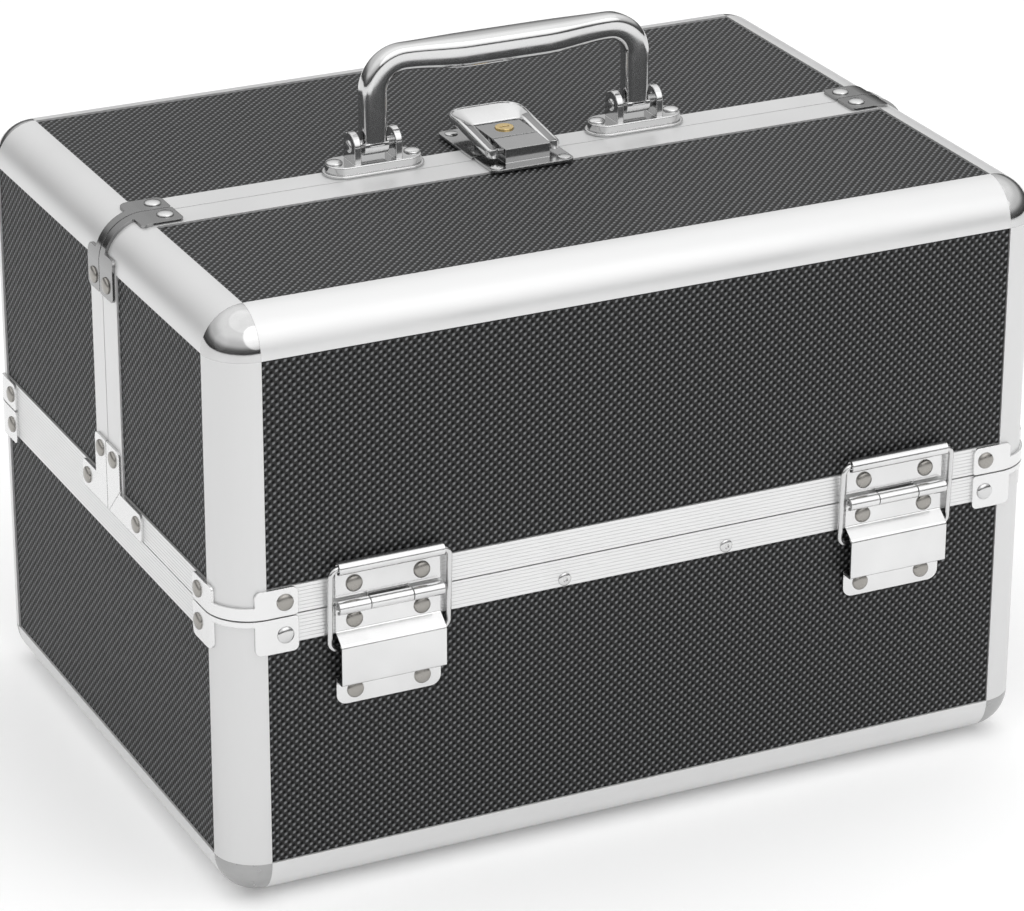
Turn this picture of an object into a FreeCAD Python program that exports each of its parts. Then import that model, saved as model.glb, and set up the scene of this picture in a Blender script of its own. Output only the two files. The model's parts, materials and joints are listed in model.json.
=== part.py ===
import FreeCAD, Part
import math
import os

# Aluminium-framed makeup case with a front-opening lid, cantilever trays and a folding handle.
# Millimetres. +Z is up, -Y is the front, the origin is on the floor under the middle of the case.

V = FreeCAD.Vector
LEFT, RIGHT = -1, 1
SIDES = (LEFT, RIGHT)

# ---------------------------------------------------------------- driving sizes: case
case_width = 300.0
case_depth = 216.0
base_height = 103.0          # case bottom to the lid seam
top_height = 103.0           # lid seam to the case top
mouth_y = -7.5               # plane where the lid meets the fixed rear half
edge_radius = 14.5           # quarter-round edge rails and corner caps
seam_gap = 0.5               # air between the lid and the rest of the case
board = 4.0                  # board thickness, skin included
board_recess = 0.8           # boards lie this far below the rails' outer faces
rail_wall = 1.2              # lip of a rail behind its board
rail_lip = 5.0               # reach of that lip
lining = 0.8                 # lining thickness
lining_corner = 5.0          # rounding of the lining's upright corners
end_round = 0.98             # rounding of a bar's end, as a share of half its width

# ---------------------------------------------------------------- driving sizes: trim
band_height = 9.75           # each half of the band round the middle
channel_wall = 0.8           # flanges of the mouth channels
channel_web = 1.0            # edge of a mouth channel that covers the board's edge
rear_flange = 10.5           # visible width of the rear half's mouth channel
lid_flange = 12.3            # visible width of the lid's mouth channel
tongue_height = 2.2          # dust tongue on the base's mouth
tongue_wall = 1.2
tongue_inset = 1.9           # tongue from the outer face
tongue_clearance = 0.9       # groove over the tongue, each way
tongue_end_gap = 0.6         # tongue's ends back from the lid's posts
plate = 1.0                  # stamped plates on the corners and the seam
plate_corner = 2.0           # corner rounding of those plates
saddle_reach = 25.0          # arm end of a saddle plate, from the corner's plane
saddle_notch = 10.2          # start of its arms, from the corner's plane
lid_neck = 4.3               # height of the lid's saddle plate round the corner
base_neck = 2.0
base_arm_width = 12.2
strap_neck = 3.8
strap_inset = 0.6            # plate edge back from the seam
junction_rise = 25.0         # upright arm of a junction plate over the seam
lid_junction_run = 30.5      # level arm, from the mouth
rear_junction_run = 23.0
mitre_groove = 0.3

# ---------------------------------------------------------------- driving sizes: fasteners
rivet_radius = 2.9
rivet_height = 1.2
head_sides = 12
rivet_inset = 4.6            # rivet centre from the end of its plate's arm
small_rivet_radius = 2.3     # on the lock and the hasp's plate
small_rivet_height = 0.6
lock_rivet_inset = 3.7       # from the lock plate's edges
hasp_rivet_inset = 2.9       # from the hasp plate's edges
screw_radius = 2.3
screw_height = 0.9
screw_spacing = 60.0
screw_drop = 7.4             # under the seam
screw_cross = 0.7            # width of its cross recess
screw_recess = 0.5
foot_radius = 8.0
foot_height = 2.0
foot_inset = 32.0

# ---------------------------------------------------------------- driving sizes: stay hinges
hinge_inset = 56.3           # middle of a hinge from the case's left or right face
hinge_width = 37.0
hinge_sheet = 0.9
knuckle_radius = 2.4
knuckle_air = 0.3            # knuckle to the case's front face
knuckle_middle = 14.8        # length of the lid's knuckle
knuckle_gap = 0.3            # air beside it
pin_radius = 1.15
pin_clearance = 0.06         # in the lid's knuckle
leaf_gap = 0.3               # leaf edge to the other leaf's knuckles
wire_radius = 1.0            # stay ring
wire_sides = 8
ring_clearance = 0.25        # round the wire in the lid's curl
ring_rise = 14.0             # knuckle axis up to the curl axis
ring_drop = 15.0             # knuckle axis down to the ring's lower bar
ring_side = 1.4              # air between the ring and the leaves' ends
ring_corner = 2.4
ring_lean = 1.4              # lower bar nearer the case than the upper one
bridge_gap = 4.8             # case face to the inside of the bridge
bridge_top = 12.7            # under the knuckle axis
bridge_bottom = 26.1
bridge_slope = 3.0
leaf_bottom = 35.5
leaf_corner = 3.0
hinge_rivet_spacing = 23.8
hinge_rivet_rise = 7.0
hinge_rivet_drop = 5.7
hinge_rivet_foot = 30.9

# ---------------------------------------------------------------- driving sizes: handle
handle_spacing = 98.4        # leg to leg
handle_height = 33.4         # pivot to the top face of the grip
leg_half_width = 4.5         # along the case
leg_half_depth = 3.8
bend_radius = 11.0           # on the centre line
bend_steps = 6
grip_swell_height = 0.9      # half of what the middle gains
grip_swell_depth = 1.7
grip_swell_length = 14.0     # half of the full-size middle
handle_edge = 1.3            # bevel of its long edges
handle_pin_radius = 1.5
handle_pin_clearance = 0.08
handle_pin_head_radius = 2.25
handle_pin_head_height = 0.75
bracket_length = 36.5
bracket_width = 14.0
bracket_base = 3.8
bracket_back = 7.6           # bracket middle behind the mouth plane
pivot_rise = 9.0             # pivot over the case top
ear_spacing = 15.1
ear_thickness = 2.6
ear_radius = 4.9
bracket_rivet_spacing = 28.6

# ---------------------------------------------------------------- driving sizes: hasp and lock
lock_width = 16.6
lock_length = 14.4
lock_height = 6.6
lock_chamfer = 1.2
lock_gap = 0.35              # lock housing back from the mouth plane
lock_plate_width = 32.0
lock_plate_length = 28.0
hasp_plate_width = 31.0
hasp_plate_length = 15.0
hasp_block_length = 9.9
hasp_block_front = 6.0       # height of the block's front face
hasp_width = 27.0
hasp_window = 18.4
hasp_thickness = 3.2
hasp_tail = 29.4             # mouth plane to the tail of the hasp
hasp_tab = 12.6              # length of the finger tab at the tail
hasp_lift = 2.9              # the tab lies higher than the pivot
hasp_corner = 6.0
hasp_pivot_front = 5.6       # pivot in front of the mouth plane
hasp_pivot_rise = 4.0
hasp_eye_radius = 2.5
hasp_pin_radius = 1.0
hasp_pin_clearance = 0.08
key_radius = 3.2
key_rise = 0.5
key_depth = 4.0
key_clearance = 0.08
key_slot = 0.8
key_slot_length = 3.6
key_back = 8.3               # key centre behind the mouth plane
bolt_back = 3.5              # bolts' middle behind the mouth plane
bolt_rise = 4.9
bolt_width = 2.4
bolt_height = 1.3
bolt_length = 5.0
bolt_clearance = 0.3         # in the housing and in the hasp's pockets
bolt_throw = 2.6
bolt_pocket = 2.2            # depth of the pockets in the hasp

# ---------------------------------------------------------------- driving sizes: trays
tray_swing = 50.0            # upper tray's pin from the lid axis, back and up alike
lower_share = 0.5            # the lower tray's pin as a share of that way
arm_back = 42.0              # arm pivots from the lid axis
arm_drop = 8.0
arm_thickness = 1.4
arm_half_width = 4.5
arm_pin_radius = 1.5
arm_pin_clearance = 0.08
free_pin_clearance = 0.3     # at the pivots that close the linkage
arm_washer = 0.5
arm_washer_radius = 3.5
tray_gap = 0.5               # tray side to the arms
tray_wall = 1.8
tray_floor = 1.8
tray_corner = 5.0
tray_rear = 4.5              # trays' rear walls in front of the mouth
upper_tray_front = 37.0      # front wall before its pin
upper_tray_below = 14.0
upper_tray_above = 26.0
lower_tray_front = 8.5
lower_tray_below = 12.0
tray_stack_gap = 1.6
upper_cells = 4
lower_cells = 3
divider_wall = 1.4
divider_drop = 3.0           # divider top under the tray's rim
divider_fit = 0.1

# ---------------------------------------------------------------- derived planes
z_bottom = foot_height
z_seam = z_bottom + base_height
z_top = z_seam + top_height
board_inside = board_recess + board
lining_outside = board_inside + rail_wall
lining_inside = lining_outside + lining
lid_bottom = z_seam + seam_gap / 2
base_top = z_seam - seam_gap / 2
lid_mouth = mouth_y - seam_gap / 2
rear_mouth = mouth_y + seam_gap / 2
groove_height = tongue_height + tongue_clearance
front_face = -case_depth / 2
rear_face = case_depth / 2
axis_y = front_face - knuckle_radius - knuckle_air
straight_x = case_width / 2 - edge_radius
lid_strap = lid_flange - strap_inset
rear_strap = rear_flange - strap_inset


def out_x(side, depth):
    """X of a plane that lies depth inside the case's left or right face."""
    return side * (case_width / 2 - depth)


def box(x_pair, y_pair, z_pair):
    """Box between two values on each axis, in either order."""
    low = V(min(x_pair), min(y_pair), min(z_pair))
    high = V(max(x_pair), max(y_pair), max(z_pair))
    size = high - low
    return Part.makeBox(size.x, size.y, size.z, low)


def cylinder(radius, start, end):
    """Round bar from start to end."""
    way = end - start
    return Part.makeCylinder(radius, way.Length, start, way)


def fuse(shapes):
    """One clean solid from shapes that touch or overlap."""
    first, rest = shapes[0], shapes[1:]
    return first.multiFuse(rest).removeSplitter() if rest else first


def group(solids):
    """Separate solids kept together in one node."""
    return Part.makeCompound(solids)


def outline(corners):
    """Closed wire through (point, radius) corners, with tangent arcs where the radius isn't 0."""
    count = len(corners)
    starts, ends, arcs = [], [], []
    for i, (point, radius) in enumerate(corners):
        back = corners[i - 1][0] - point
        ahead = corners[(i + 1) % count][0] - point
        back.normalize()
        ahead.normalize()
        if radius <= 0:
            starts.append(point)
            ends.append(point)
            arcs.append(None)
            continue
        half = back.getAngle(ahead) / 2
        reach = radius / math.tan(half)
        middle = back + ahead
        middle.normalize()
        start, end = point + back * reach, point + ahead * reach
        top = point + middle * (radius / math.sin(half) - radius)
        starts.append(start)
        ends.append(end)
        arcs.append(Part.Arc(start, top, end).toShape())
    edges = []
    for i in range(count):
        if arcs[i]:
            edges.append(arcs[i])
        following = starts[(i + 1) % count]
        if (following - ends[i]).Length > 1e-6:
            edges.append(Part.LineSegment(ends[i], following).toShape())
    return Part.Wire(edges)


def plate_from(corners, way):
    """Flat plate: a rounded outline carried along a vector."""
    return Part.Face(outline(corners)).extrude(way)


def section_from(points, way):
    """Bar of constant section: a polygon carried along a vector."""
    return Part.Face(Part.makePolygon(points + [points[0]])).extrude(way)


# ---------------------------------------------------------------- edge rails, posts and caps
def rail(at, way, lip_u=0.0, lip_v=0.0):
    """Quarter-round rail with a rebate for each board. at(u, v) lies u and v inside the two faces."""
    inner = lining_outside
    points = [(edge_radius, 0)]
    if lip_u:
        far = edge_radius + lip_u
        points += [(edge_radius, board_inside), (far, board_inside), (far, inner)]
    else:
        points += [(edge_radius, inner)]
    points += [(inner, inner)]
    if lip_v:
        far = edge_radius + lip_v
        points += [(inner, far), (board_inside, far), (board_inside, edge_radius)]
    else:
        points += [(inner, edge_radius)]
    points += [(0, edge_radius)]
    edges = [Part.LineSegment(at(*a), at(*b)).toShape() for a, b in zip(points, points[1:])]
    crown = edge_radius - edge_radius / math.sqrt(2)
    edges.append(Part.Arc(at(0, edge_radius), at(crown, crown), at(edge_radius, 0)).toShape())
    return Part.Face(Part.Wire(edges)).extrude(way)


def cross_rail(face_sign, z_face, z_sign):
    """Rail along X on the front (-1) or rear (+1) edge."""
    def at(u, v):
        return V(-straight_x, face_sign * (case_depth / 2 - u), z_face + z_sign * v)
    return rail(at, V(2 * straight_x, 0, 0), rail_lip, rail_lip)


def side_rail(side, z_face, z_sign, y_start, y_end):
    """Rail along Y on the left or right edge."""
    def at(u, v):
        return V(out_x(side, u), y_start, z_face + z_sign * v)
    return rail(at, V(0, y_end - y_start, 0), 0.0, rail_lip)


def post(side, face_sign, z_start, z_end):
    """Upright rail on a corner."""
    def at(u, v):
        return V(out_x(side, u), face_sign * (case_depth / 2 - v), z_start)
    return rail(at, V(0, 0, z_end - z_start))


def corner_cap(side, face_sign, z_face, z_sign):
    """Eighth of a ball between three rails, hollow where the lining's corner comes."""
    def span(axis_face, sign):
        return axis_face, axis_face + sign * edge_radius
    x_pair = span(out_x(side, 0), -side)
    y_pair = span(face_sign * case_depth / 2, -face_sign)
    z_pair = span(z_face, z_sign)
    centre = V(x_pair[1], y_pair[1], z_pair[1])
    ball = Part.makeSphere(edge_radius, centre)
    depth = edge_radius - lining_outside
    x_in, y_in = side * depth, face_sign * depth
    hollow = plate_from(
        [(centre, 0), (centre + V(x_in, 0, 0), 0), (centre + V(x_in, y_in, 0), lining_corner),
         (centre + V(0, y_in, 0), 0)],
        V(0, 0, -z_sign * depth))
    return ball.common(box(x_pair, y_pair, z_pair)).cut(hollow)


# ---------------------------------------------------------------- boards
def front_board(face_sign, z_start, z_end):
    """Board in the front (-1) or rear (+1) face."""
    y_pair = [face_sign * (case_depth / 2 - d) for d in (board_recess, board_inside)]
    return box((-straight_x, straight_x), y_pair, (z_start, z_end))


def side_board(side, y_start, y_end, z_start, z_end):
    x_pair = [out_x(side, d) for d in (board_recess, board_inside)]
    return box(x_pair, (y_start, y_end), (z_start, z_end))


def level_board(y_start, y_end, z_face, z_sign):
    z_pair = [z_face + z_sign * d for d in (board_recess, board_inside)]
    return box((-straight_x, straight_x), (y_start, y_end), z_pair)


# ---------------------------------------------------------------- mouth channels and bands
def channel_points(outer_flange):
    """Section of a plain channel over a board's edge: depth from the outer face, height from the mouth."""
    inner = board_inside + channel_wall
    return [
        (0, 0), (inner, 0), (inner, band_height), (board_inside, band_height),
        (board_inside, channel_web), (board_recess, channel_web),
        (board_recess, outer_flange), (0, outer_flange),
    ]


def groove_points():
    """Lid channel: a groove that takes the tongue, under the board's edge."""
    groove_outer = tongue_inset - tongue_clearance / 2
    groove_inner = tongue_inset + tongue_wall + tongue_clearance
    board_edge = groove_height + channel_web
    return [
        (0, 0), (groove_outer, 0), (groove_outer, groove_height), (groove_inner, groove_height),
        (groove_inner, 0), (board_inside + channel_wall, 0), (board_inside + channel_wall, band_height),
        (board_inside, band_height), (board_inside, board_edge), (board_recess, board_edge),
        (board_recess, band_height), (0, band_height),
    ]


def front_channel(points, z_mouth, z_sign):
    """Channel along the front face. z_sign is the way its flanges point from the mouth."""
    corners = [V(-straight_x, front_face + d, z_mouth + z_sign * h) for d, h in points]
    return section_from(corners, V(2 * straight_x, 0, 0))


def side_channel(points, side, y_start, y_end, z_mouth, z_sign):
    corners = [V(out_x(side, d), y_start, z_mouth + z_sign * h) for d, h in points]
    return section_from(corners, V(0, y_end - y_start, 0))


def upright_channel(side, flange, y_mouth, y_sign):
    """Channel up the side of the mouth, from the band to the top rail."""
    low, high = lid_bottom + band_height, z_top - edge_radius
    corners = [V(out_x(side, d), y_mouth + y_sign * h, low) for d, h in channel_points(flange)]
    channel = section_from(corners, V(0, 0, high - low))
    return channel.cut(side_rail(side, z_top, -1, y_mouth, y_mouth + y_sign * 2 * band_height))


def top_channel(flange, y_mouth, y_sign):
    corners = [V(-straight_x, y_mouth + y_sign * h, z_top - d) for d, h in channel_points(flange)]
    return section_from(corners, V(2 * straight_x, 0, 0))


def mouth_stop(side, y_mouth, y_sign, z_low):
    """Web that closes the board's edge at the mouth, beside the band."""
    x_pair = (out_x(side, 0), out_x(side, board_inside + channel_wall))
    return box(x_pair, (y_mouth, y_mouth + y_sign * channel_web), (z_low, lid_bottom + band_height))


def base_side_band(side):
    """Base side band: a channel with its tongue in front of the mouth, a wide flat strip behind it."""
    def at(depth, height, along):
        return V(out_x(side, depth), along, base_top + height)
    start = front_face + edge_radius
    channel = side_channel(channel_points(band_height), side, start, rear_mouth, base_top, -1)
    strip = box(
        (out_x(side, 0), out_x(side, board_recess)),
        (rear_mouth, rear_face - edge_radius),
        (base_top - band_height, lid_bottom + band_height),
    )
    stop = mouth_stop(side, rear_mouth, 1, base_top - channel_web)
    return fuse([channel, strip, stop, tongue(at, start + tongue_end_gap, rear_mouth)])


def lid_side_band(side):
    """Lid side band: a channel with its groove, closed at the mouth over the groove."""
    channel = side_channel(groove_points(), side, front_face + edge_radius, lid_mouth, lid_bottom, 1)
    return fuse([channel, mouth_stop(side, lid_mouth, -1, lid_bottom + groove_height)])


def tongue(at, start, end):
    """Dust tongue that stands on the base's mouth. at(depth, height, along) places its corners."""
    inner = tongue_inset + tongue_wall
    points = [(tongue_inset, 0), (tongue_inset, tongue_height), (inner, tongue_height), (inner, 0)]
    corners = [at(depth, height, start) for depth, height in points]
    return section_from(corners, at(0, 0, end) - at(0, 0, start))


def base_front_band():
    """Front channel with its tongue."""
    def at(depth, height, along):
        return V(along, front_face + depth, base_top + height)
    reach = straight_x - tongue_end_gap
    return fuse([front_channel(channel_points(band_height), base_top, -1), tongue(at, -reach, reach)])


# ---------------------------------------------------------------- stamped plates
def saddle(at, neck, arm_width):
    """Plate that wraps an edge rail, narrowed round its crown into a neck.

    at(u, v, w) lies u and v inside the two faces and w from the seam.
    """
    up = at(0, 0, 1) - at(0, 0, 0)
    crown_in = edge_radius - edge_radius / math.sqrt(2)
    crown_out = edge_radius - (edge_radius + plate) / math.sqrt(2)
    r, t, end = edge_radius, plate, saddle_reach
    edges = [
        Part.LineSegment(at(end, 0, 0), at(end, -t, 0)).toShape(),
        Part.LineSegment(at(end, -t, 0), at(r, -t, 0)).toShape(),
        Part.Arc(at(r, -t, 0), at(crown_out, crown_out, 0), at(-t, r, 0)).toShape(),
        Part.LineSegment(at(-t, r, 0), at(-t, end, 0)).toShape(),
        Part.LineSegment(at(-t, end, 0), at(0, end, 0)).toShape(),
        Part.LineSegment(at(0, end, 0), at(0, r, 0)).toShape(),
        Part.Arc(at(0, r, 0), at(crown_in, crown_in, 0), at(r, 0, 0)).toShape(),
        Part.LineSegment(at(r, 0, 0), at(end, 0, 0)).toShape(),
    ]
    wrap = Part.Face(Part.Wire(edges))
    tall = wrap.extrude(up * arm_width)
    notch = saddle_notch
    necked = [wrap.extrude(up * neck).common(plate_from(
        [(at(-t, -t, 0), 0), (at(r, -t, 0), 0), (at(r, r, 0), 0), (at(-t, r, 0), 0)], up * neck))]
    for u_first in (True, False):
        def on_face(a, w, depth):
            return at(a, depth, w) if u_first else at(depth, a, w)
        corners = [
            (on_face(notch, 0, -t), 0), (on_face(end, 0, -t), plate_corner / 2),
            (on_face(end, arm_width, -t), plate_corner), (on_face(notch, arm_width, -t), plate_corner),
        ]
        reach = on_face(notch, 0, notch) - on_face(notch, 0, -t)
        necked.append(tall.common(plate_from(corners, reach)))
    return fuse(necked)


def corner_saddle(side, face_sign, z_mouth, z_sign, neck, arm_width):
    """Saddle plate round an upright corner, at the band."""
    def at(u, v, w):
        return V(out_x(side, u), face_sign * (case_depth / 2 - v), z_mouth + z_sign * w)
    return saddle(at, neck, arm_width)


def seam_saddle(side, y_mouth, y_sign, arm_width):
    """Saddle plate over a top edge, at the mouth."""
    def at(u, v, w):
        return V(out_x(side, u), y_mouth + y_sign * w, z_top - v)
    return saddle(at, strap_neck, arm_width)


def junction_plate(side, y_mouth, y_sign, arm, run):
    """L-shaped plate on the side, where the upright channel meets the band."""
    x = out_x(side, 0)
    inner_corner = y_mouth + y_sign * arm
    top, run_end = z_seam + junction_rise, y_mouth + y_sign * run
    shelf = lid_bottom + band_height
    corners = [
        (V(x, y_mouth, lid_bottom), 0), (V(x, run_end, lid_bottom), plate_corner / 2),
        (V(x, run_end, shelf), plate_corner), (V(x, inner_corner, shelf), 0),
        (V(x, inner_corner, top), plate_corner), (V(x, y_mouth, top), 0),
    ]
    return plate_from(corners, V(side * plate, 0, 0))


def mitred(shape, side):
    """Cut the shallow mitre line across a lid junction plate."""
    run = lid_strap
    depth = plate - mitre_groove
    cutter = box(
        (side * depth, side * (plate + mitre_groove)),
        (-run, run), (-mitre_groove / 2, mitre_groove / 2),
    )
    cutter.rotate(V(0, 0, 0), V(1, 0, 0), -45)
    cutter.translate(V(out_x(side, 0), lid_mouth - lid_strap / 2, lid_bottom + band_height / 2))
    return shape.cut(cutter)


# ---------------------------------------------------------------- small fasteners
def head(point, normal, radius, height):
    """Low many-sided head that stands on a surface, in few faces."""
    turns = [2 * math.pi * i / head_sides for i in range(head_sides)]
    corners = [V(radius * math.cos(a), radius * math.sin(a), 0) for a in turns]
    piece = section_from(corners, V(0, 0, height))
    piece.Placement = FreeCAD.Placement(point, FreeCAD.Rotation(V(0, 0, 1), normal))
    return piece


def rivet(point, normal):
    return head(point, normal, rivet_radius, rivet_height)


def side_rivet(side, y, z):
    return rivet(V(out_x(side, -plate), y, z), V(side, 0, 0))


def corner_rivets(side, face_sign, z):
    """One rivet on each arm of a corner saddle."""
    inset = saddle_reach - rivet_inset
    y_plane = face_sign * (case_depth / 2 + plate)
    return [
        rivet(V(out_x(side, inset), y_plane, z), V(0, face_sign, 0)),
        side_rivet(side, face_sign * (case_depth / 2 - inset), z),
    ]


def seam_rivets(side, y):
    """One rivet on each arm of a seam saddle."""
    inset = saddle_reach - rivet_inset
    return [
        rivet(V(out_x(side, inset), y, z_top + plate), V(0, 0, 1)),
        side_rivet(side, y, z_top - inset),
    ]


# ---------------------------------------------------------------- stay hinges
def hinge_x(side):
    return side * (case_width / 2 - hinge_inset)


def hinge_span(side):
    """The hinge's two end planes."""
    return hinge_x(side) - hinge_width / 2, hinge_x(side) + hinge_width / 2


def knuckle_planes(side):
    """The lid knuckle's two end planes."""
    return hinge_x(side) - knuckle_middle / 2, hinge_x(side) + knuckle_middle / 2


def upper_leaf(side):
    """Leaf on the lid: one knuckle below and the curl that holds the stay ring above."""
    start, end = hinge_span(side)
    middle = knuckle_planes(side)
    y_pair = (front_face - hinge_sheet, front_face)
    edge = z_seam + knuckle_radius + leaf_gap
    curl_axis = z_seam + ring_rise
    bore = wire_radius + ring_clearance
    sheet = box((start, end), y_pair, (edge, curl_axis))
    neck = box(middle, y_pair, (z_seam, edge))
    knuckle_bore = pin_radius + pin_clearance
    leaf = fuse([
        sheet, neck, cylinder(knuckle_radius, V(middle[0], axis_y, z_seam), V(middle[1], axis_y, z_seam)),
        cylinder(knuckle_radius, V(start, axis_y, curl_axis), V(end, axis_y, curl_axis)),
    ])
    for x_pair, z_axis, radius in (((start, end), curl_axis, bore), (middle, z_seam, knuckle_bore)):
        leaf = leaf.cut(cylinder(radius, V(x_pair[0], axis_y, z_axis), V(x_pair[1], axis_y, z_axis)))
    return leaf


def lower_leaf(side):
    """Leaf on the base: two knuckles, a bridge that the ring's lower bar slides in, and a foot."""
    start, end = hinge_span(side)
    middle = knuckle_planes(side)
    outer = front_face - bridge_gap - hinge_sheet
    edge = z_seam - knuckle_radius - leaf_gap
    shoulder = z_seam - bridge_top + bridge_slope
    corner = hinge_sheet / 2
    profile = [
        (front_face, edge), (front_face - hinge_sheet, edge), (front_face - hinge_sheet, shoulder),
        (outer, z_seam - bridge_top), (outer, z_seam - bridge_bottom - hinge_sheet),
        (front_face - hinge_sheet, z_seam - bridge_bottom - hinge_sheet),
        (front_face - hinge_sheet, z_seam - leaf_bottom), (front_face, z_seam - leaf_bottom),
        (front_face, z_seam - bridge_bottom), (outer + hinge_sheet, z_seam - bridge_bottom),
        (outer + hinge_sheet, z_seam - bridge_top - corner), (front_face, shoulder - corner),
    ]
    sheet = section_from([V(start, y, z) for y, z in profile], V(hinge_width, 0, 0))
    silhouette = [
        (V(start, outer, z_seam), 0), (V(end, outer, z_seam), 0),
        (V(end, outer, z_seam - leaf_bottom), leaf_corner),
        (V(start, outer, z_seam - leaf_bottom), leaf_corner),
    ]
    sheet = sheet.common(plate_from(silhouette, V(0, front_face - outer, 0)))
    pieces = [sheet]
    for x_pair in ((start, middle[0] - knuckle_gap), (middle[1] + knuckle_gap, end)):
        pieces.append(box(x_pair, (front_face - hinge_sheet, front_face), (edge, z_seam)))
        pieces.append(cylinder(
            knuckle_radius, V(x_pair[0], axis_y, z_seam), V(x_pair[1], axis_y, z_seam)))
    leaf = fuse(pieces)
    return leaf.cut(cylinder(pin_radius, V(start, axis_y, z_seam), V(end, axis_y, z_seam)))


def hinge_pin(side):
    start, end = hinge_span(side)
    return cylinder(pin_radius, V(start, axis_y, z_seam), V(end, axis_y, z_seam))


def stay_ring(side):
    """Closed wire ring: a round upper bar in the lid's curl, and an eight-sided bar round the rest."""
    half = hinge_width / 2 + ring_side + wire_radius
    low, high = z_seam - ring_drop, z_seam + ring_rise
    x = hinge_x(side)
    back = axis_y + ring_lean
    corners = [V(x - half, back, low), V(x + half, back, low),
               V(x + half, axis_y, high), V(x - half, axis_y, high)]
    across = V(1, 0, 0)
    up = corners[2] - corners[1]
    length = up.Length
    up.normalize()
    out = across.cross(up)
    pieces = []
    for centre, along, reach in (
            (corners[0], across, 2 * half), (corners[1], up, length),
            (corners[2], across * -1, 2 * half), (corners[3], up * -1, length)):
        start = centre + along * ring_corner
        side_way = out.cross(along)
        section = []
        for i in range(wire_sides):
            turn = 2 * math.pi * (i + 0.5) / wire_sides
            section.append(start + out * (wire_radius * math.cos(turn))
                           + side_way * (wire_radius * math.sin(turn)))
        face = Part.Face(Part.makePolygon(section + [section[0]]))
        run = along * (reach - 2 * ring_corner)
        if centre is corners[2]:
            pieces.append(cylinder(wire_radius, start, start + run))
        else:
            pieces.append(face.extrude(run))
        pieces.append(face.revolve(start + side_way * ring_corner, out, -90))
    return fuse(pieces)


def hinge_rivets(side, rows):
    """A pair of rivets in each row. rows are heights from the seam."""
    heads = []
    for rise in rows:
        for half in (-hinge_rivet_spacing / 2, hinge_rivet_spacing / 2):
            heads.append(rivet(
                V(hinge_x(side) + half, front_face - hinge_sheet, z_seam + rise), V(0, -1, 0)))
    return heads


# ---------------------------------------------------------------- handle
bracket_y = mouth_y + bracket_back
pivot_z = z_top + pivot_rise


def bracket_x(side):
    return side * handle_spacing / 2


def handle_bracket(side):
    """Oblong base with two rounded ears."""
    x = bracket_x(side)
    half = bracket_width / 2
    reach = bracket_length / 2
    round_end = half * end_round
    corners = [(V(x + i * reach, bracket_y + j * half, z_top), round_end)
               for i, j in ((-1, -1), (1, -1), (1, 1), (-1, 1))]
    pieces = [plate_from(corners, V(0, 0, bracket_base))]
    for ear in (-1, 1):
        inner = x + ear * (ear_spacing - ear_thickness) / 2
        way = V(ear * ear_thickness, 0, 0)
        pieces.append(Part.makeCylinder(ear_radius, ear_thickness, V(inner, bracket_y, pivot_z), way))
        pieces.append(box(
            (inner, inner + ear * ear_thickness), (bracket_y - ear_radius, bracket_y + ear_radius),
            (z_top + bracket_base, pivot_z)))
    bracket = fuse(pieces)
    return bracket.cut(handle_pin(side))


def handle_pin(side):
    """Pin through both ears, with an upset end outside each."""
    half = ear_spacing / 2 + ear_thickness / 2
    x = bracket_x(side)
    start, end = V(x - half, bracket_y, pivot_z), V(x + half, bracket_y, pivot_z)
    return cylinder(handle_pin_radius, start, end)


def handle_pin_piece(side):
    half = ear_spacing / 2 + ear_thickness / 2
    x = bracket_x(side)
    heads = [head(V(x + i * half, bracket_y, pivot_z), V(i, 0, 0),
                  handle_pin_head_radius, handle_pin_head_height) for i in (-1, 1)]
    return fuse([handle_pin(side)] + heads)


def handle_section(point, tilt, half_height, half_depth):
    """Eight-sided wire round the bail's centre line. tilt turns it from level, about Y."""
    up = V(math.sin(tilt), 0, math.cos(tilt))
    back = V(0, 1, 0)
    long_half, short_half = half_height - handle_edge, half_depth - handle_edge
    corners = [(half_height, -short_half), (half_height, short_half), (long_half, half_depth),
               (-long_half, half_depth), (-half_height, short_half), (-half_height, -short_half),
               (-long_half, -half_depth), (long_half, -half_depth)]
    points = [point + up * u + back * v for u, v in corners]
    return Part.makePolygon(points + [points[0]])


def handle():
    """Bail with a swollen grip: eight-sided sections from one foot over to the other."""
    half = handle_spacing / 2
    level = pivot_z + handle_height - leg_half_width
    bend = V(half - bend_radius, bracket_y, level - bend_radius)
    right = [handle_section(V(half, bracket_y, pivot_z), math.pi / 2, leg_half_width, leg_half_depth)]
    for i in range(bend_steps + 1):
        turn = math.pi / 2 * (1 - i / bend_steps)
        point = bend + V(bend_radius * math.sin(turn), 0, bend_radius * math.cos(turn))
        right.append(handle_section(point, turn, leg_half_width, leg_half_depth))
    right.append(handle_section(
        V(grip_swell_length, bracket_y, level - grip_swell_height), 0,
        leg_half_width + grip_swell_height, leg_half_depth + grip_swell_depth))
    loft_right = Part.makeLoft(right, True, True)
    grip = Part.Face(right[-1]).extrude(V(-2 * grip_swell_length, 0, 0))
    pieces = [loft_right, grip, loft_right.mirror(V(0, 0, 0), V(1, 0, 0))]
    for side in SIDES:
        x = side * half
        pieces.append(cylinder(
            leg_half_depth, V(x - leg_half_width, bracket_y, pivot_z),
            V(x + leg_half_width, bracket_y, pivot_z)))
    bail = fuse(pieces)
    bore = handle_pin_radius + handle_pin_clearance
    for side in SIDES:
        x = side * half
        bail = bail.cut(cylinder(
            bore, V(x - leg_half_width, bracket_y, pivot_z), V(x + leg_half_width, bracket_y, pivot_z)))
    return bail


def bracket_rivets(side):
    z = z_top + bracket_base
    return [rivet(V(bracket_x(side) + i * bracket_rivet_spacing / 2, bracket_y, z), V(0, 0, 1))
            for i in (-1, 1)]


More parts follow.
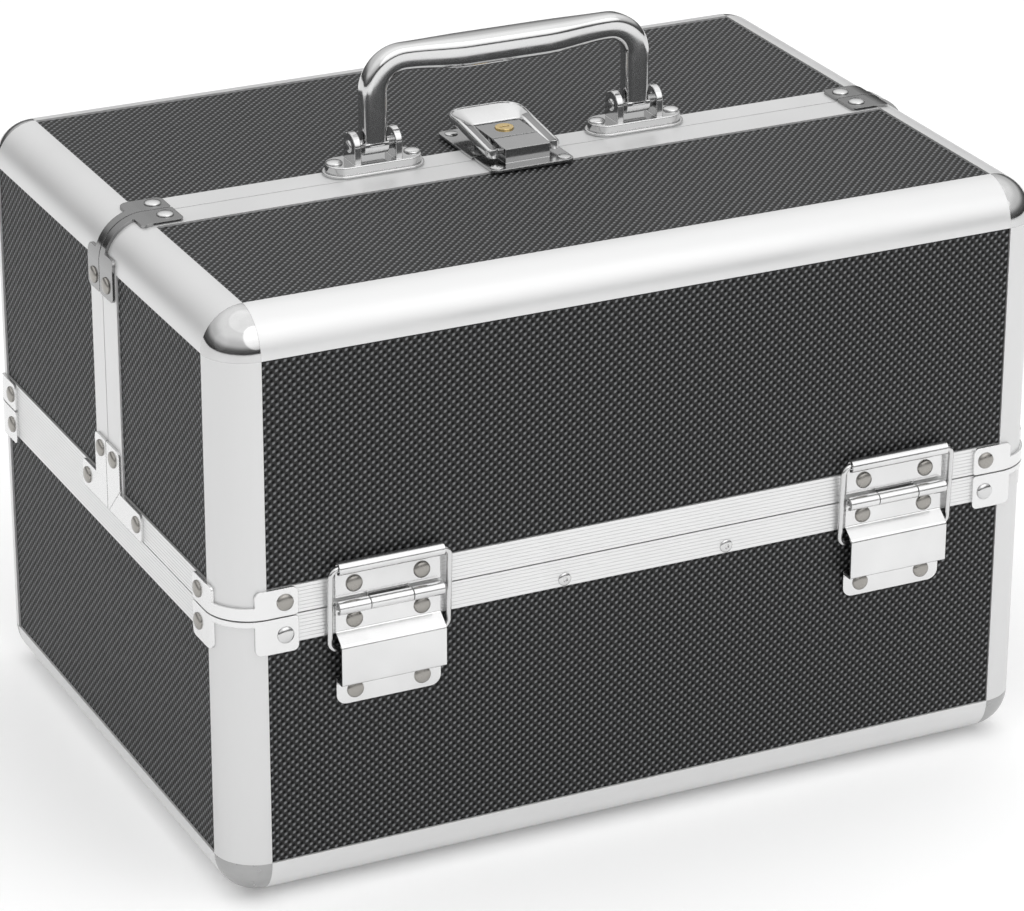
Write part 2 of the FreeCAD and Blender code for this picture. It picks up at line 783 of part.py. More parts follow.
# ---------------------------------------------------------------- hasp and lock
lock_front = mouth_y + lock_gap
hasp_pivot = V(0, mouth_y - hasp_pivot_front, z_top + hasp_pivot_rise)
key_centre = V(0, mouth_y + key_back, z_top + lock_height)


def bolt_box(x_pair, clearance=0.0):
    """Space of a bolt along X, grown by a clearance across it."""
    y, z = mouth_y + bolt_back, z_top + bolt_rise
    half_y, half_z = bolt_width / 2 + clearance, bolt_height / 2 + clearance
    return box(x_pair, (y - half_y, y + half_y), (z - half_z, z + half_z))


def lock_housing():
    """One casting: a flange riveted to the rear half, and a body for the key cylinder and bolts."""
    half = lock_plate_width / 2
    rear = lock_front + lock_plate_length
    corners = [
        (V(-half, lock_front, z_top), 0), (V(half, lock_front, z_top), 0),
        (V(half, rear, z_top), plate_corner), (V(-half, rear, z_top), plate_corner),
    ]
    flange = plate_from(corners, V(0, 0, plate))
    half = lock_width / 2
    rear = lock_front + lock_length
    high = z_top + lock_height
    chamfer = lock_chamfer
    profile = [
        V(-half, lock_front, z_top), V(-half, rear, z_top), V(-half, rear, high - chamfer),
        V(-half, rear - chamfer, high), V(-half, lock_front, high),
    ]
    body = fuse([flange, section_from(profile, V(lock_width, 0, 0))])
    bore = key_radius + key_clearance
    body = body.cut(cylinder(bore, key_centre - V(0, 0, key_depth), key_centre))
    return body.cut(bolt_box((-half, half), bolt_clearance))


def lock_bolt(side):
    """Bolt that the key slides out into the hasp's arm."""
    end = lock_width / 2 - bolt_clearance
    return bolt_box((side * (end - bolt_length), side * end))


def key_cylinder():
    """Turning plug with a key slot."""
    low = key_centre - V(0, 0, key_depth - bolt_clearance)
    plug = cylinder(key_radius, low, key_centre + V(0, 0, key_rise))
    slot = box(
        (-key_slot_length / 2, key_slot_length / 2),
        (key_centre.y - key_slot / 2, key_centre.y + key_slot / 2),
        (key_centre.z - key_depth / 2, key_centre.z + key_rise),
    )
    return plug.cut(slot)


def hasp_block():
    """Plate and block on the lid that carry the hasp's pin."""
    half = hasp_plate_width / 2
    front = lid_mouth - hasp_plate_length
    corners = [
        (V(-half, lid_mouth, z_top), 0), (V(half, lid_mouth, z_top), 0),
        (V(half, front, z_top), plate_corner), (V(-half, front, z_top), plate_corner),
    ]
    sheet = plate_from(corners, V(0, 0, plate))
    side = lock_width / 2
    nose = lid_mouth - hasp_block_length
    profile = [
        V(-side, lid_mouth, z_top), V(-side, lid_mouth, z_top + lock_height),
        V(-side, nose, z_top + hasp_block_front), V(-side, nose, z_top),
    ]
    block = section_from(profile, V(lock_width, 0, 0))
    piece = fuse([sheet, block])
    return piece.cut(hasp_pin())


def hasp_pin():
    half = hasp_width / 2
    return cylinder(hasp_pin_radius, hasp_pivot - V(half, 0, 0), hasp_pivot + V(half, 0, 0))


def hasp():
    """Loop that folds down round the lock: two arms and a raised finger tab."""
    half = hasp_width / 2
    tail = mouth_y + hasp_tail
    tab = tail - hasp_tab
    rise = hasp_lift
    thick = hasp_thickness / 2
    y0, z0 = hasp_pivot.y, hasp_pivot.z
    profile = [
        V(-half, y0, z0 - thick), V(-half, tab, z0 + rise - thick), V(-half, tail, z0 + rise - thick / 2),
        V(-half, tail, z0 + rise + thick), V(-half, tab, z0 + rise + thick), V(-half, y0, z0 + thick),
    ]
    bar = section_from(profile, V(hasp_width, 0, 0))
    eye = cylinder(hasp_eye_radius, hasp_pivot - V(half, 0, 0), hasp_pivot + V(half, 0, 0))
    front = y0 - hasp_eye_radius
    low = z0 - hasp_eye_radius
    plan = [
        (V(-half, front, low), plate_corner / 2), (V(half, front, low), plate_corner / 2),
        (V(half, tail, low), hasp_corner), (V(-half, tail, low), hasp_corner),
    ]
    frame = fuse([bar, eye]).common(plate_from(plan, V(0, 0, rise + 2 * hasp_thickness)))
    window_half = hasp_window / 2
    window = [
        (V(-window_half, front, low), 0), (V(window_half, front, low), 0),
        (V(window_half, tab, low), plate_corner), (V(-window_half, tab, low), plate_corner),
    ]
    frame = frame.cut(plate_from(window, V(0, 0, rise + 2 * hasp_thickness)))
    for side in SIDES:
        frame = frame.cut(bolt_box(
            (side * window_half, side * (window_half + bolt_pocket)), bolt_clearance))
    bore = hasp_pin_radius + hasp_pin_clearance
    return frame.cut(cylinder(bore, hasp_pivot - V(half, 0, 0), hasp_pivot + V(half, 0, 0)))


def small_rivets(x, y):
    """A pair of small rivets on the case top, left and right."""
    return [head(V(i * x, y, z_top + plate), V(0, 0, 1), small_rivet_radius, small_rivet_height)
            for i in (-1, 1)]


def lock_rivets():
    """Rivets at the rear corners of the lock plate, under the hasp's tab."""
    rear = lock_front + lock_plate_length
    return small_rivets(lock_plate_width / 2 - lock_rivet_inset, rear - lock_rivet_inset)


def hasp_rivets():
    front = lid_mouth - hasp_plate_length
    return small_rivets(hasp_plate_width / 2 - hasp_rivet_inset, front + hasp_rivet_inset)


# ---------------------------------------------------------------- trays and their linkage
# The lid's fixed bars and the base's swinging arms are the two cranks of a parallelogram, and each
# tray is its level link: arms turn with the lid, degree for degree, and the trays stay upright.
lid_axis = V(0, axis_y, z_seam)
upper_pin = lid_axis + V(0, tray_swing, tray_swing)
lower_pin = lid_axis + V(0, tray_swing * lower_share, tray_swing * lower_share)
arm_offset = V(0, arm_back, -arm_drop)
arm_outer = case_width / 2 - lining_inside - arm_washer
arm_inner = arm_outer - arm_thickness
tray_side = arm_inner - tray_gap
tray_inner = tray_side - tray_wall
pin_end = tray_inner + free_pin_clearance


def bar_between(side, start, end):
    """Flat bar with round ends, in the gap between the trays and the case's side."""
    way = end - start
    way.normalize()
    across = V(0, -way.z, way.y) * arm_half_width
    reach = way * arm_half_width
    x = V(side * arm_outer, 0, 0)
    nearly_round = arm_half_width * end_round
    corners = [(x + start - reach - across, nearly_round), (x + end + reach - across, nearly_round),
               (x + end + reach + across, nearly_round), (x + start - reach + across, nearly_round)]
    return plate_from(corners, V(-side * arm_thickness, 0, 0))


def stub(side, point, x_start, x_end, radius):
    """Short pin along X."""
    return cylinder(radius, V(side * x_start, point.y, point.z), V(side * x_end, point.y, point.z))


def lid_bar(side):
    """Bar fixed to the lid's side, with a pin for each tray."""
    pieces = [bar_between(side, lower_pin, upper_pin)]
    for share in (1 / 3, 2 / 3):
        point = lower_pin + (upper_pin - lower_pin) * share
        pieces.append(stub(side, point, arm_outer, arm_outer + arm_washer, arm_washer_radius))
    for pin in (lower_pin, upper_pin):
        pieces.append(stub(side, pin, arm_outer, pin_end, arm_pin_radius))
    return fuse(pieces)


def tray_arm(side):
    """Arm on the base's side, with a pin for each tray and a bore for its own pivot."""
    pivot = lid_axis + arm_offset
    pieces = [bar_between(side, pivot, upper_pin + arm_offset)]
    for pin in (lower_pin, upper_pin):
        pieces.append(stub(side, pin + arm_offset, arm_outer, pin_end, arm_pin_radius))
    bore = arm_pin_radius + arm_pin_clearance
    return fuse(pieces).cut(stub(side, pivot, arm_outer, arm_inner, bore))


def arm_pivot(side):
    """Shouldered pivot that holds an arm off the lining."""
    pivot = lid_axis + arm_offset
    shank = stub(side, pivot, arm_outer + arm_washer, arm_inner - arm_washer / 2, arm_pin_radius)
    washer = stub(side, pivot, arm_outer + arm_washer, arm_outer + divider_fit, arm_washer_radius)
    return fuse([shank, washer])


def tray(pin, before, below, top_z):
    """Open moulded tray with a bore in each side for the lid bar's pin and the arm's pin."""
    front, rear = pin.y - before, mouth_y - tray_rear
    low = pin.z - below
    corners = [(V(i * tray_side, y, low), tray_corner)
               for i, y in ((-1, front), (1, front), (1, rear), (-1, rear))]
    shell = plate_from(corners, V(0, 0, top_z - low))
    inside = [(V(i * tray_inner, y, low + tray_floor), tray_corner - tray_wall)
              for i, y in ((-1, front + tray_wall), (1, front + tray_wall),
                           (1, rear - tray_wall), (-1, rear - tray_wall))]
    shell = shell.cut(plate_from(inside, V(0, 0, top_z - low)))
    for side in SIDES:
        for point, clearance in ((pin, arm_pin_clearance), (pin + arm_offset, free_pin_clearance)):
            shell = shell.cut(stub(side, point, tray_side, tray_inner, arm_pin_radius + clearance))
    return shell


def dividers(pin, before, below, top_z, cells):
    """Upright walls that part the tray crosswise."""
    front = pin.y - before + tray_wall + divider_fit
    rear = mouth_y - tray_rear - tray_wall - divider_fit
    low = pin.z - below + tray_floor
    walls = []
    for i in range(1, cells):
        x = -tray_inner + 2 * tray_inner * i / cells
        walls.append(box(
            (x - divider_wall / 2, x + divider_wall / 2), (front, rear), (low, top_z - divider_drop)))
    return group(walls)


upper_top = upper_pin.z + upper_tray_above
lower_top = upper_pin.z - upper_tray_below - tray_stack_gap
upper_tray_sizes = (upper_pin, upper_tray_front, upper_tray_below, upper_top)
lower_tray_sizes = (lower_pin, lower_tray_front, lower_tray_below, lower_top)


# ---------------------------------------------------------------- linings
def rounded_block(depth, y_pair, z_pair, front_round, rear_round):
    """Block depth inside the case's sides, with rounded upright corners where asked."""
    half = case_width / 2 - depth
    radius = lining_corner - (depth - lining_outside)
    y_front, y_rear = y_pair
    low, high = z_pair
    front, rear = radius * front_round, radius * rear_round
    corners = [
        (V(-half, y_front, low), front), (V(half, y_front, low), front),
        (V(half, y_rear, low), rear), (V(-half, y_rear, low), rear),
    ]
    return plate_from(corners, V(0, 0, high - low))


def base_lining():
    y_out = case_depth / 2 - lining_outside
    y_in = case_depth / 2 - lining_inside
    low, high = z_bottom + lining_outside, base_top - channel_web
    shell = rounded_block(lining_outside, (-y_out, y_out), (low, high), 1, 1)
    return shell.cut(rounded_block(lining_inside, (-y_in, y_in), (low + lining, high), 1, 1))


def rear_lining():
    start = rear_mouth + channel_web
    low, high = base_top - channel_web, z_top - lining_outside
    shell = rounded_block(lining_outside, (start, rear_face - lining_outside), (low, high), 0, 1)
    return shell.cut(rounded_block(
        lining_inside, (start, rear_face - lining_inside), (low, high - lining), 0, 1))


def lid_lining():
    end = lid_mouth - channel_web
    low, high = lid_bottom + channel_web, z_top - lining_outside
    shell = rounded_block(lining_outside, (front_face + lining_outside, end), (low, high), 1, 0)
    return shell.cut(rounded_block(
        lining_inside, (front_face + lining_inside, end), (low, high - lining), 1, 0))


# ---------------------------------------------------------------- nodes
def foot(x_sign, y_sign):
    x = x_sign * (case_width / 2 - foot_inset)
    y = y_sign * (case_depth / 2 - foot_inset)
    low = cylinder(foot_radius, V(x, y, 0), V(x, y, z_bottom + board_recess))
    return low


def band_screw(x_sign):
    point = V(x_sign * screw_spacing / 2, front_face, z_seam - screw_drop)
    screw = head(point, V(0, -1, 0), screw_radius, screw_height)
    y_pair = (front_face - screw_height, front_face - screw_height + screw_recess)
    long, short = screw_radius * 0.6, screw_cross / 2
    for half_x, half_z in ((long, short), (short, long)):
        screw = screw.cut(box(
            (point.x - half_x, point.x + half_x), y_pair, (point.z - half_z, point.z + half_z)))
    return screw


board_split = base_top - channel_web
lid_board_low = lid_bottom + groove_height + channel_web
rear_board_front = rear_mouth + channel_web
lid_board_rear = lid_mouth - channel_web
board_top = z_top - edge_radius
board_low = z_bottom + edge_radius
side_front = front_face + edge_radius
side_rear = rear_face - edge_radius
band_rivet_z = lid_bottom + band_height / 2
base_rivet_z = base_top - base_arm_width / 2
junction_upright = junction_rise - rivet_inset

nodes = {
    "base_bottom_board": level_board(side_front, side_rear, z_bottom, 1),
    "base_front_board": front_board(-1, board_low, board_split),
    "base_rear_board": front_board(1, board_low, board_split),
    "rear_upper_board": front_board(1, board_split, board_top),
    "rear_top_board": level_board(rear_board_front, side_rear, z_top, -1),
    "lid_front_board": front_board(-1, lid_board_low, board_top),
    "lid_top_board": level_board(side_front, lid_board_rear, z_top, -1),
    "base_side_boards": group(
        [side_board(i, side_front, side_rear, board_low, board_split) for i in SIDES]),
    "rear_side_boards": group(
        [side_board(i, rear_board_front, side_rear, board_split, board_top) for i in SIDES]),
    "lid_side_boards": group(
        [side_board(i, side_front, lid_board_rear, lid_board_low, board_top) for i in SIDES]),
    "bottom_rails": group(
        [cross_rail(i, z_bottom, 1) for i in (-1, 1)]
        + [side_rail(i, z_bottom, 1, side_front, side_rear) for i in SIDES]),
    "base_front_posts": group([post(i, -1, board_low, base_top) for i in SIDES]),
    "rear_posts": group([post(i, 1, board_low, board_top) for i in SIDES]),
    "rear_top_rails": group(
        [cross_rail(1, z_top, -1)] + [side_rail(i, z_top, -1, rear_mouth, side_rear) for i in SIDES]),
    "lid_rails": group(
        [cross_rail(-1, z_top, -1)] + [side_rail(i, z_top, -1, side_front, lid_mouth) for i in SIDES]),
    "lid_posts": group([post(i, -1, lid_bottom, board_top) for i in SIDES]),
    "bottom_corner_caps": group([corner_cap(i, j, z_bottom, 1) for i in SIDES for j in (-1, 1)]),
    "rear_corner_caps": group([corner_cap(i, 1, z_top, -1) for i in SIDES]),
    "lid_corner_caps": group([corner_cap(i, -1, z_top, -1) for i in SIDES]),
    "base_front_band": base_front_band(),
    "rear_band": box(
        (-straight_x, straight_x), (rear_face, rear_face - board_recess),
        (base_top - band_height, lid_bottom + band_height)),
    "base_side_bands": group([base_side_band(i) for i in SIDES]),
    "lid_bands": group(
        [front_channel(groove_points(), lid_bottom, 1)] + [lid_side_band(i) for i in SIDES]),
    "rear_mouth_channels": group(
        [upright_channel(i, rear_flange, rear_mouth, 1) for i in SIDES]
        + [top_channel(rear_flange, rear_mouth, 1)]),
    "lid_mouth_channels": group(
        [upright_channel(i, lid_flange, lid_mouth, -1) for i in SIDES]
        + [top_channel(lid_flange, lid_mouth, -1)]),
    "base_corner_plates": group(
        [corner_saddle(i, j, base_top, -1, base_neck, base_arm_width) for i in SIDES for j in (-1, 1)]
        + [corner_saddle(i, 1, lid_bottom, 1, lid_neck, band_height) for i in SIDES]),
    "lid_corner_plates": group(
        [corner_saddle(i, -1, lid_bottom, 1, lid_neck, band_height) for i in SIDES]),
    "rear_junction_plates": group(
        [junction_plate(i, rear_mouth, 1, rear_strap, rear_junction_run) for i in SIDES]),
    "lid_junction_plates": group(
        [mitred(junction_plate(i, lid_mouth, -1, lid_strap, lid_junction_run), i) for i in SIDES]),
    "rear_seam_straps": group([seam_saddle(i, rear_mouth, 1, rear_strap) for i in SIDES]),
    "lid_seam_straps": group([seam_saddle(i, lid_mouth, -1, lid_strap) for i in SIDES]),
    "feet": group([foot(i, j) for i in SIDES for j in (-1, 1)]),
    "band_screws": group([band_screw(i) for i in SIDES]),
    "case_linings": group([base_lining(), rear_lining()]),
    "lid_lining": lid_lining(),
    "hinge_upper_leaves": group([upper_leaf(i) for i in SIDES]),
    "hinge_lower_leaves": group([lower_leaf(i) for i in SIDES]),
    "hinge_pins": group([hinge_pin(i) for i in SIDES]),
    "handle_brackets": group([handle_bracket(i) for i in SIDES]),
    "handle_pins": group([handle_pin_piece(i) for i in SIDES]),
    "handle": handle(),
    "lock_housing": lock_housing(),
    "key_cylinder": key_cylinder(),
    "hasp_block": hasp_block(),
    "hasp_pin": hasp_pin(),
    "hasp": hasp(),
    "tray_bars": group([lid_bar(i) for i in SIDES]),
    "tray_pivots": group([arm_pivot(i) for i in SIDES]),
    "upper_tray": tray(*upper_tray_sizes),
    "upper_dividers": dividers(*upper_tray_sizes, upper_cells),
    "lower_tray": tray(*lower_tray_sizes),
    "lower_dividers": dividers(*lower_tray_sizes, lower_cells),
}

for side, word in ((LEFT, "left"), (RIGHT, "right")):
    nodes[f"stay_ring_{word}"] = stay_ring(side)
    nodes[f"tray_arm_{word}"] = tray_arm(side)
    nodes[f"lock_bolt_{word}"] = lock_bolt(side)

nodes["base_rivets"] = group(
    [piece for i in SIDES for j in (-1, 1) for piece in corner_rivets(i, j, base_rivet_z)]
    + [piece for i in SIDES for piece in corner_rivets(i, 1, band_rivet_z)]
    + [piece for i in SIDES for piece in seam_rivets(i, rear_mouth + rear_strap / 2)]
    + [side_rivet(i, rear_mouth + rear_strap / 2, z_seam + junction_upright) for i in SIDES]
    + [side_rivet(i, rear_mouth + rear_junction_run - rivet_inset, band_rivet_z) for i in SIDES]
    + [piece for i in SIDES for piece in hinge_rivets(i, (-hinge_rivet_drop, -hinge_rivet_foot))]
    + [piece for i in SIDES for piece in bracket_rivets(i)]
    + lock_rivets())
nodes["lid_rivets"] = group(
    [piece for i in SIDES for piece in corner_rivets(i, -1, band_rivet_z)]
    + [piece for i in SIDES for piece in seam_rivets(i, lid_mouth - lid_strap / 2)]
    + [side_rivet(i, lid_mouth - lid_strap / 2, z_seam + junction_upright) for i in SIDES]
    + [side_rivet(i, lid_mouth - lid_junction_run + rivet_inset, band_rivet_z) for i in SIDES]
    + [piece for i in SIDES for piece in hinge_rivets(i, (hinge_rivet_rise,))]
    + hasp_rivets())

os.makedirs("parts", exist_ok=True)
for name, shape in nodes.items():
    if not shape.isValid() or min(solid.Volume for solid in shape.Solids) <= 0:
        raise ValueError(f"{name} is not a sound solid")
    shape.exportStep(f"parts/{name}.step")
print(len(nodes), "nodes written")
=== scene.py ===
import json
import logging
import math
from dataclasses import dataclass
from enum import Enum, IntEnum

import bmesh
import bpy
import numpy as np
from mathutils import Matrix, Vector


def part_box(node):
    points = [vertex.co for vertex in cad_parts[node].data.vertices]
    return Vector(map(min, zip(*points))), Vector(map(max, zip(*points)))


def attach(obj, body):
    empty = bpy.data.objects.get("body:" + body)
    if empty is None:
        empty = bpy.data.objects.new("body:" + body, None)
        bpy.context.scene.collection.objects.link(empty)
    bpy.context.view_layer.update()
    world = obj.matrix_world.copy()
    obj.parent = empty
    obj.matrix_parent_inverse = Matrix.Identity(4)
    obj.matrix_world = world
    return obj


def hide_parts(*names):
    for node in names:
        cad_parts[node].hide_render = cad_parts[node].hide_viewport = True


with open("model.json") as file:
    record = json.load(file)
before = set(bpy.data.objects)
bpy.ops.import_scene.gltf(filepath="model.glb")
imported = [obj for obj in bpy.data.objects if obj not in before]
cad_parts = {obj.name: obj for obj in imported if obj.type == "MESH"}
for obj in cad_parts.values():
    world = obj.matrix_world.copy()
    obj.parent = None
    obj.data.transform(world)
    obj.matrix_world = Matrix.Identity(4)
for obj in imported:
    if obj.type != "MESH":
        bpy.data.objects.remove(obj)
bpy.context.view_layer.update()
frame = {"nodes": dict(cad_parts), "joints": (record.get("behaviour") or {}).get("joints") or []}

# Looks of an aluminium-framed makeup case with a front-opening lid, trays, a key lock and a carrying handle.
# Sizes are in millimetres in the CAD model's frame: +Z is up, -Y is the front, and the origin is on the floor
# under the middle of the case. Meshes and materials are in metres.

log = logging.getLogger("makeup_case")
Array = np.ndarray
Socket = bpy.types.NodeSocket
MM = 0.001


class Side(Enum):
    """Left or right half of the case, seen from the front, with the sign of its X."""

    LEFT = -1
    RIGHT = 1


class Face(Enum):
    """Way a board faces: the axes that its pattern runs along, its outward axis and side, and its lean.

    The lean is 1 where the pattern's strokes rise along the first axis, and -1 where they fall.
    """

    FRONT = ("X", "Z", 1, -1, 1)
    BACK = ("X", "Z", 1, 1, -1)
    LEFT = ("Y", "Z", 0, -1, -1)
    RIGHT = ("Y", "Z", 0, 1, 1)
    LEVEL = ("X", "Y", 2, 1, 1)

    def __init__(self, across: str, along: str, thin: int, outward: int, lean: int) -> None:
        """Give the parts of a face's value their names."""
        self.across, self.along, self.thin, self.outward, self.lean = across, along, thin, outward, lean

    @staticmethod
    def of(thin: int, outward: int) -> "Face":
        """Face of a board that is thin along an axis and lies on this side of the case.

        Args:
            thin: Number of the axis.
            outward: Sign of the board's place on that axis. A level board has one face for both.

        Returns:
            The face.
        """
        if thin == Face.LEVEL.thin:
            return Face.LEVEL
        return next(face for face in Face if (face.thin, face.outward) == (thin, outward))


@dataclass(frozen=True)
class Pattern:
    """Staggered strokes of the laminate, pressed in along two crossed waves."""

    across: float = 2.96
    along: float = 2.87
    slant: float = 0.64
    # The pits' painted shade sits this share of a turn off the strokes, above them, where light from above
    # would leave shade.
    pit_shade_shift: tuple[float, float] = (-0.1, 0.34)


PATTERN = Pattern()


# ------------------------------------------------------------------------------------------------ surfaces
@dataclass
class Surface:
    """Points in millimetres, one row each, and faces as lists of point numbers."""

    points: Array
    faces: list[list[int]]

    def turned(self, turn: Array, origin: Array) -> "Surface":
        """The surface turned by a 3 x 3 matrix and then moved to an origin."""
        return Surface(self.points @ np.asarray(turn, float).T + np.asarray(origin, float), self.faces)

    @staticmethod
    def joined(surfaces: list["Surface"]) -> "Surface":
        """Several surfaces as one.

        Args:
            surfaces: Surfaces to join.

        Returns:
            One surface in which each of them keeps its own points.
        """
        starts = np.cumsum([0] + [len(s.points) for s in surfaces])
        faces = [[number + int(start) for number in face]
                 for s, start in zip(surfaces, starts) for face in s.faces]
        return Surface(np.concatenate([s.points for s in surfaces]), faces)


def grid_faces(rows: int, columns: int, wrap_rows: bool = False,
               wrap_columns: bool = False) -> list[list[int]]:
    """Quads between the neighbouring points of a grid.

    Args:
        rows: Number of rows of points.
        columns: Number of points in a row.
        wrap_rows: Whether the last row joins the first.
        wrap_columns: Whether a row's last point joins its first.

    Returns:
        Point numbers of each quad.
    """
    row = np.arange(rows if wrap_rows else rows - 1)[:, None]
    column = np.arange(columns if wrap_columns else columns - 1)[None, :]
    row_next, column_next = (row + 1) % rows, (column + 1) % columns
    quads = np.stack([row * columns + column, row * columns + column_next,
                      row_next * columns + column_next, row_next * columns + column], axis=-1)
    return quads.reshape(-1, 4).tolist()


def grid_surface(points: Array, wrap_rows: bool = False, wrap_columns: bool = False,
                 capped: bool = False) -> Surface:
    """Surface through a grid of points.

    Args:
        points: Points as rows x columns x 3.
        wrap_rows: Whether the last row joins the first.
        wrap_columns: Whether a row's last point joins its first.
        capped: Whether the first and last rows are filled with one face each.

    Returns:
        The surface.
    """
    rows, columns = points.shape[:2]
    faces = grid_faces(rows, columns, wrap_rows, wrap_columns)
    if capped:
        faces += [list(range(columns))[::-1], list(range((rows - 1) * columns, rows * columns))]
    return Surface(points.reshape(-1, 3), faces)


def rounded(corners: Array, radii: Array, steps: int = 6) -> Array:
    """Closed outline with an arc in each corner.

    Between two unit ways s and e from an arc's centre, at an angle a, the point at share t is
    (sin((1 - t) a) s + sin(t a) e) / sin(a), times the radius.

    Args:
        corners: Corner points, k x 2.
        radii: One radius for all corners, or k radii. 0 keeps the corner sharp.
        steps: Segments of each arc.

    Returns:
        Points of the outline, k * (steps + 1) x 2.
    """
    corners = np.asarray(corners, float)
    radii = np.broadcast_to(np.asarray(radii, float), len(corners))[:, None]
    back = np.roll(corners, 1, axis=0) - corners
    ahead = np.roll(corners, -1, axis=0) - corners
    back /= np.linalg.norm(back, axis=1, keepdims=True)
    ahead /= np.linalg.norm(ahead, axis=1, keepdims=True)
    cosine = np.clip((back * ahead).sum(1, keepdims=True), -1, 1)
    half = np.clip(np.arccos(cosine) / 2, 1e-5, np.pi / 2 - 1e-5)
    middle = back + ahead
    middle /= np.maximum(np.linalg.norm(middle, axis=1, keepdims=True), 1e-9)
    centre = corners + middle * radii / np.sin(half)
    reach = radii / np.tan(half)
    safe = np.maximum(radii, 1e-9)
    start, end = (corners + back * reach - centre) / safe, (corners + ahead * reach - centre) / safe
    angle = np.pi - 2 * half
    share = np.linspace(0, 1, steps + 1)[None, :]
    first = (np.sin((1 - share) * angle) / np.sin(angle))[..., None]
    last = (np.sin(share * angle) / np.sin(angle))[..., None]
    arcs = centre[:, None] + radii[:, None] * (first * start[:, None] + last * end[:, None])
    return arcs.reshape(-1, 2)


def strip(path: Array, thickness: float) -> Array:
    """Outline of a sheet of even thickness: a path moved half of it to either side.

    Args:
        path: Points of the sheet's middle line, n x 2.
        thickness: Thickness of the sheet.

    Returns:
        Points of the outline, 2n x 2.
    """
    way = np.gradient(path, axis=0)
    way /= np.linalg.norm(way, axis=1, keepdims=True)
    across = np.stack([-way[:, 1], way[:, 0]], axis=1) * thickness / 2
    return np.concatenate([path + across, (path - across)[::-1]])


def open_path(corners: Array, radii: Array, steps: int = 5) -> Array:
    """Path through corners with an arc in each but the two ends, without double points.

    Args:
        corners: Corner points, k x 2.
        radii: k radii, of which the first and last don't count.
        steps: Segments of each arc.

    Returns:
        Points of the path.
    """
    radii = np.array(radii, float)
    radii[[0, -1]] = 0
    points = rounded(corners, radii, steps)
    keep = np.linalg.norm(np.diff(points, axis=0, prepend=points[:1] + 1), axis=1) > 1e-6
    return points[keep]


def extruded(outline: Array, axes: tuple[int, int, int], start: float, end: float) -> Surface:
    """Solid of constant section between two planes.

    Args:
        outline: Section points, n x 2.
        axes: Axis numbers of the section's first and second value, and of the extrusion.
        start: Place of the first plane.
        end: Place of the second plane.

    Returns:
        The solid, with a face on each end.
    """
    points = np.zeros((2, len(outline), 3))
    points[:, :, axes[0]] = outline[:, 0]
    points[:, :, axes[1]] = outline[:, 1]
    points[:, :, axes[2]] = np.array([[start], [end]])
    return grid_surface(points, wrap_columns=True, capped=True)


def revolved(profile: Array, steps: int = 28) -> Surface:
    """Solid of revolution about Z: the point (radius cos a, radius sin a, height) for each angle a.

    Args:
        profile: Radius and height of each point, from the bottom's middle to the top's middle.
        steps: Number of angles.

    Returns:
        The solid.
    """
    profile = np.asarray(profile, float)
    angle = np.linspace(0, 2 * np.pi, steps, endpoint=False)[:, None]
    points = np.stack([profile[:, 0] * np.cos(angle), profile[:, 0] * np.sin(angle),
                       np.broadcast_to(profile[:, 1], (steps, len(profile)))], axis=-1)
    return grid_surface(points, wrap_rows=True)


def swept(section: Array, centres: Array, sides: Array, ups: Array, closed: bool = False) -> Surface:
    """Section carried along a path: centre + first value * side + second value * up.

    Args:
        section: Points m x 2, or n x m x 2 where it changes along the path.
        centres: Points of the path, n x 3.
        sides: Unit way of the section's first value at each point, n x 3.
        ups: Unit way of its second value.
        closed: Whether the path closes.

    Returns:
        The swept solid.
    """
    section = np.broadcast_to(section, (len(centres),) + np.shape(section)[-2:])
    points = centres[:, None] + section[..., :1] * sides[:, None] + section[..., 1:] * ups[:, None]
    return grid_surface(points, wrap_rows=closed, wrap_columns=True, capped=not closed)


def bar(start: Array, end: Array, radius: float, chamfer: float) -> Surface:
    """Round bar between two points.

    Args:
        start: Middle of the bar's first end.
        end: Middle of its other end.
        radius: Radius of the bar.
        chamfer: Width of the chamfer on both ends.

    Returns:
        The bar.
    """
    start, end = np.asarray(start, float), np.asarray(end, float)
    length = np.linalg.norm(end - start)
    profile = [(0, 0), (radius - chamfer, 0), (radius, chamfer), (radius, length - chamfer),
               (radius - chamfer, length), (0, length)]
    return revolved(profile).turned(upright_to(end - start), start)


def upright_to(way: Array) -> Array:
    """Turn that takes +Z to a way."""
    return np.array(Vector((0, 0, 1)).rotation_difference(Vector(way)).to_matrix())


def solids_of(node: str) -> tuple[Array, Array]:
    """Boxes of the separate solids in a CAD node.

    Triangles that share a corner get the lowest label among their corners, again and again until
    nothing changes, so each solid ends with one label.

    Args:
        node: Name of the CAD node.

    Returns:
        Lowest and highest corners, one row per solid, in millimetres.
    """
    mesh = frame["nodes"][node].data
    points = np.empty(len(mesh.vertices) * 3)
    mesh.vertices.foreach_get("co", points)
    corners = np.empty(len(mesh.loops), int)
    mesh.loops.foreach_get("vertex_index", corners)
    places, merged = np.unique(np.round(points.reshape(-1, 3) / MM, 3), axis=0, return_inverse=True)
    triangles = merged.reshape(-1)[corners].reshape(-1, 3)
    label, before = np.arange(len(places)), None
    while before is None or not np.array_equal(label, before):
        before = label.copy()
        lowest = label[triangles].min(axis=1, keepdims=True)
        np.minimum.at(label, triangles, np.broadcast_to(lowest, triangles.shape))
    solid = np.unique(label, return_inverse=True)[1].reshape(-1)
    low = np.full((solid.max() + 1, 3), np.inf)
    high = -low
    np.minimum.at(low, solid, places)
    np.maximum.at(high, solid, places)
    return low, high


def joint_place(name: str) -> Array:
    """Point that a joint turns about, in millimetres."""
    place = next(joint["pos_m"] for joint in frame["joints"] if joint["name"] == name)
    return np.round(np.array(place) / MM, 2)


def corners_of(node: str) -> Array:
    """Lowest and highest corner of a CAD node, in millimetres."""
    return np.round(np.array(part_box(node)) / MM, 2)


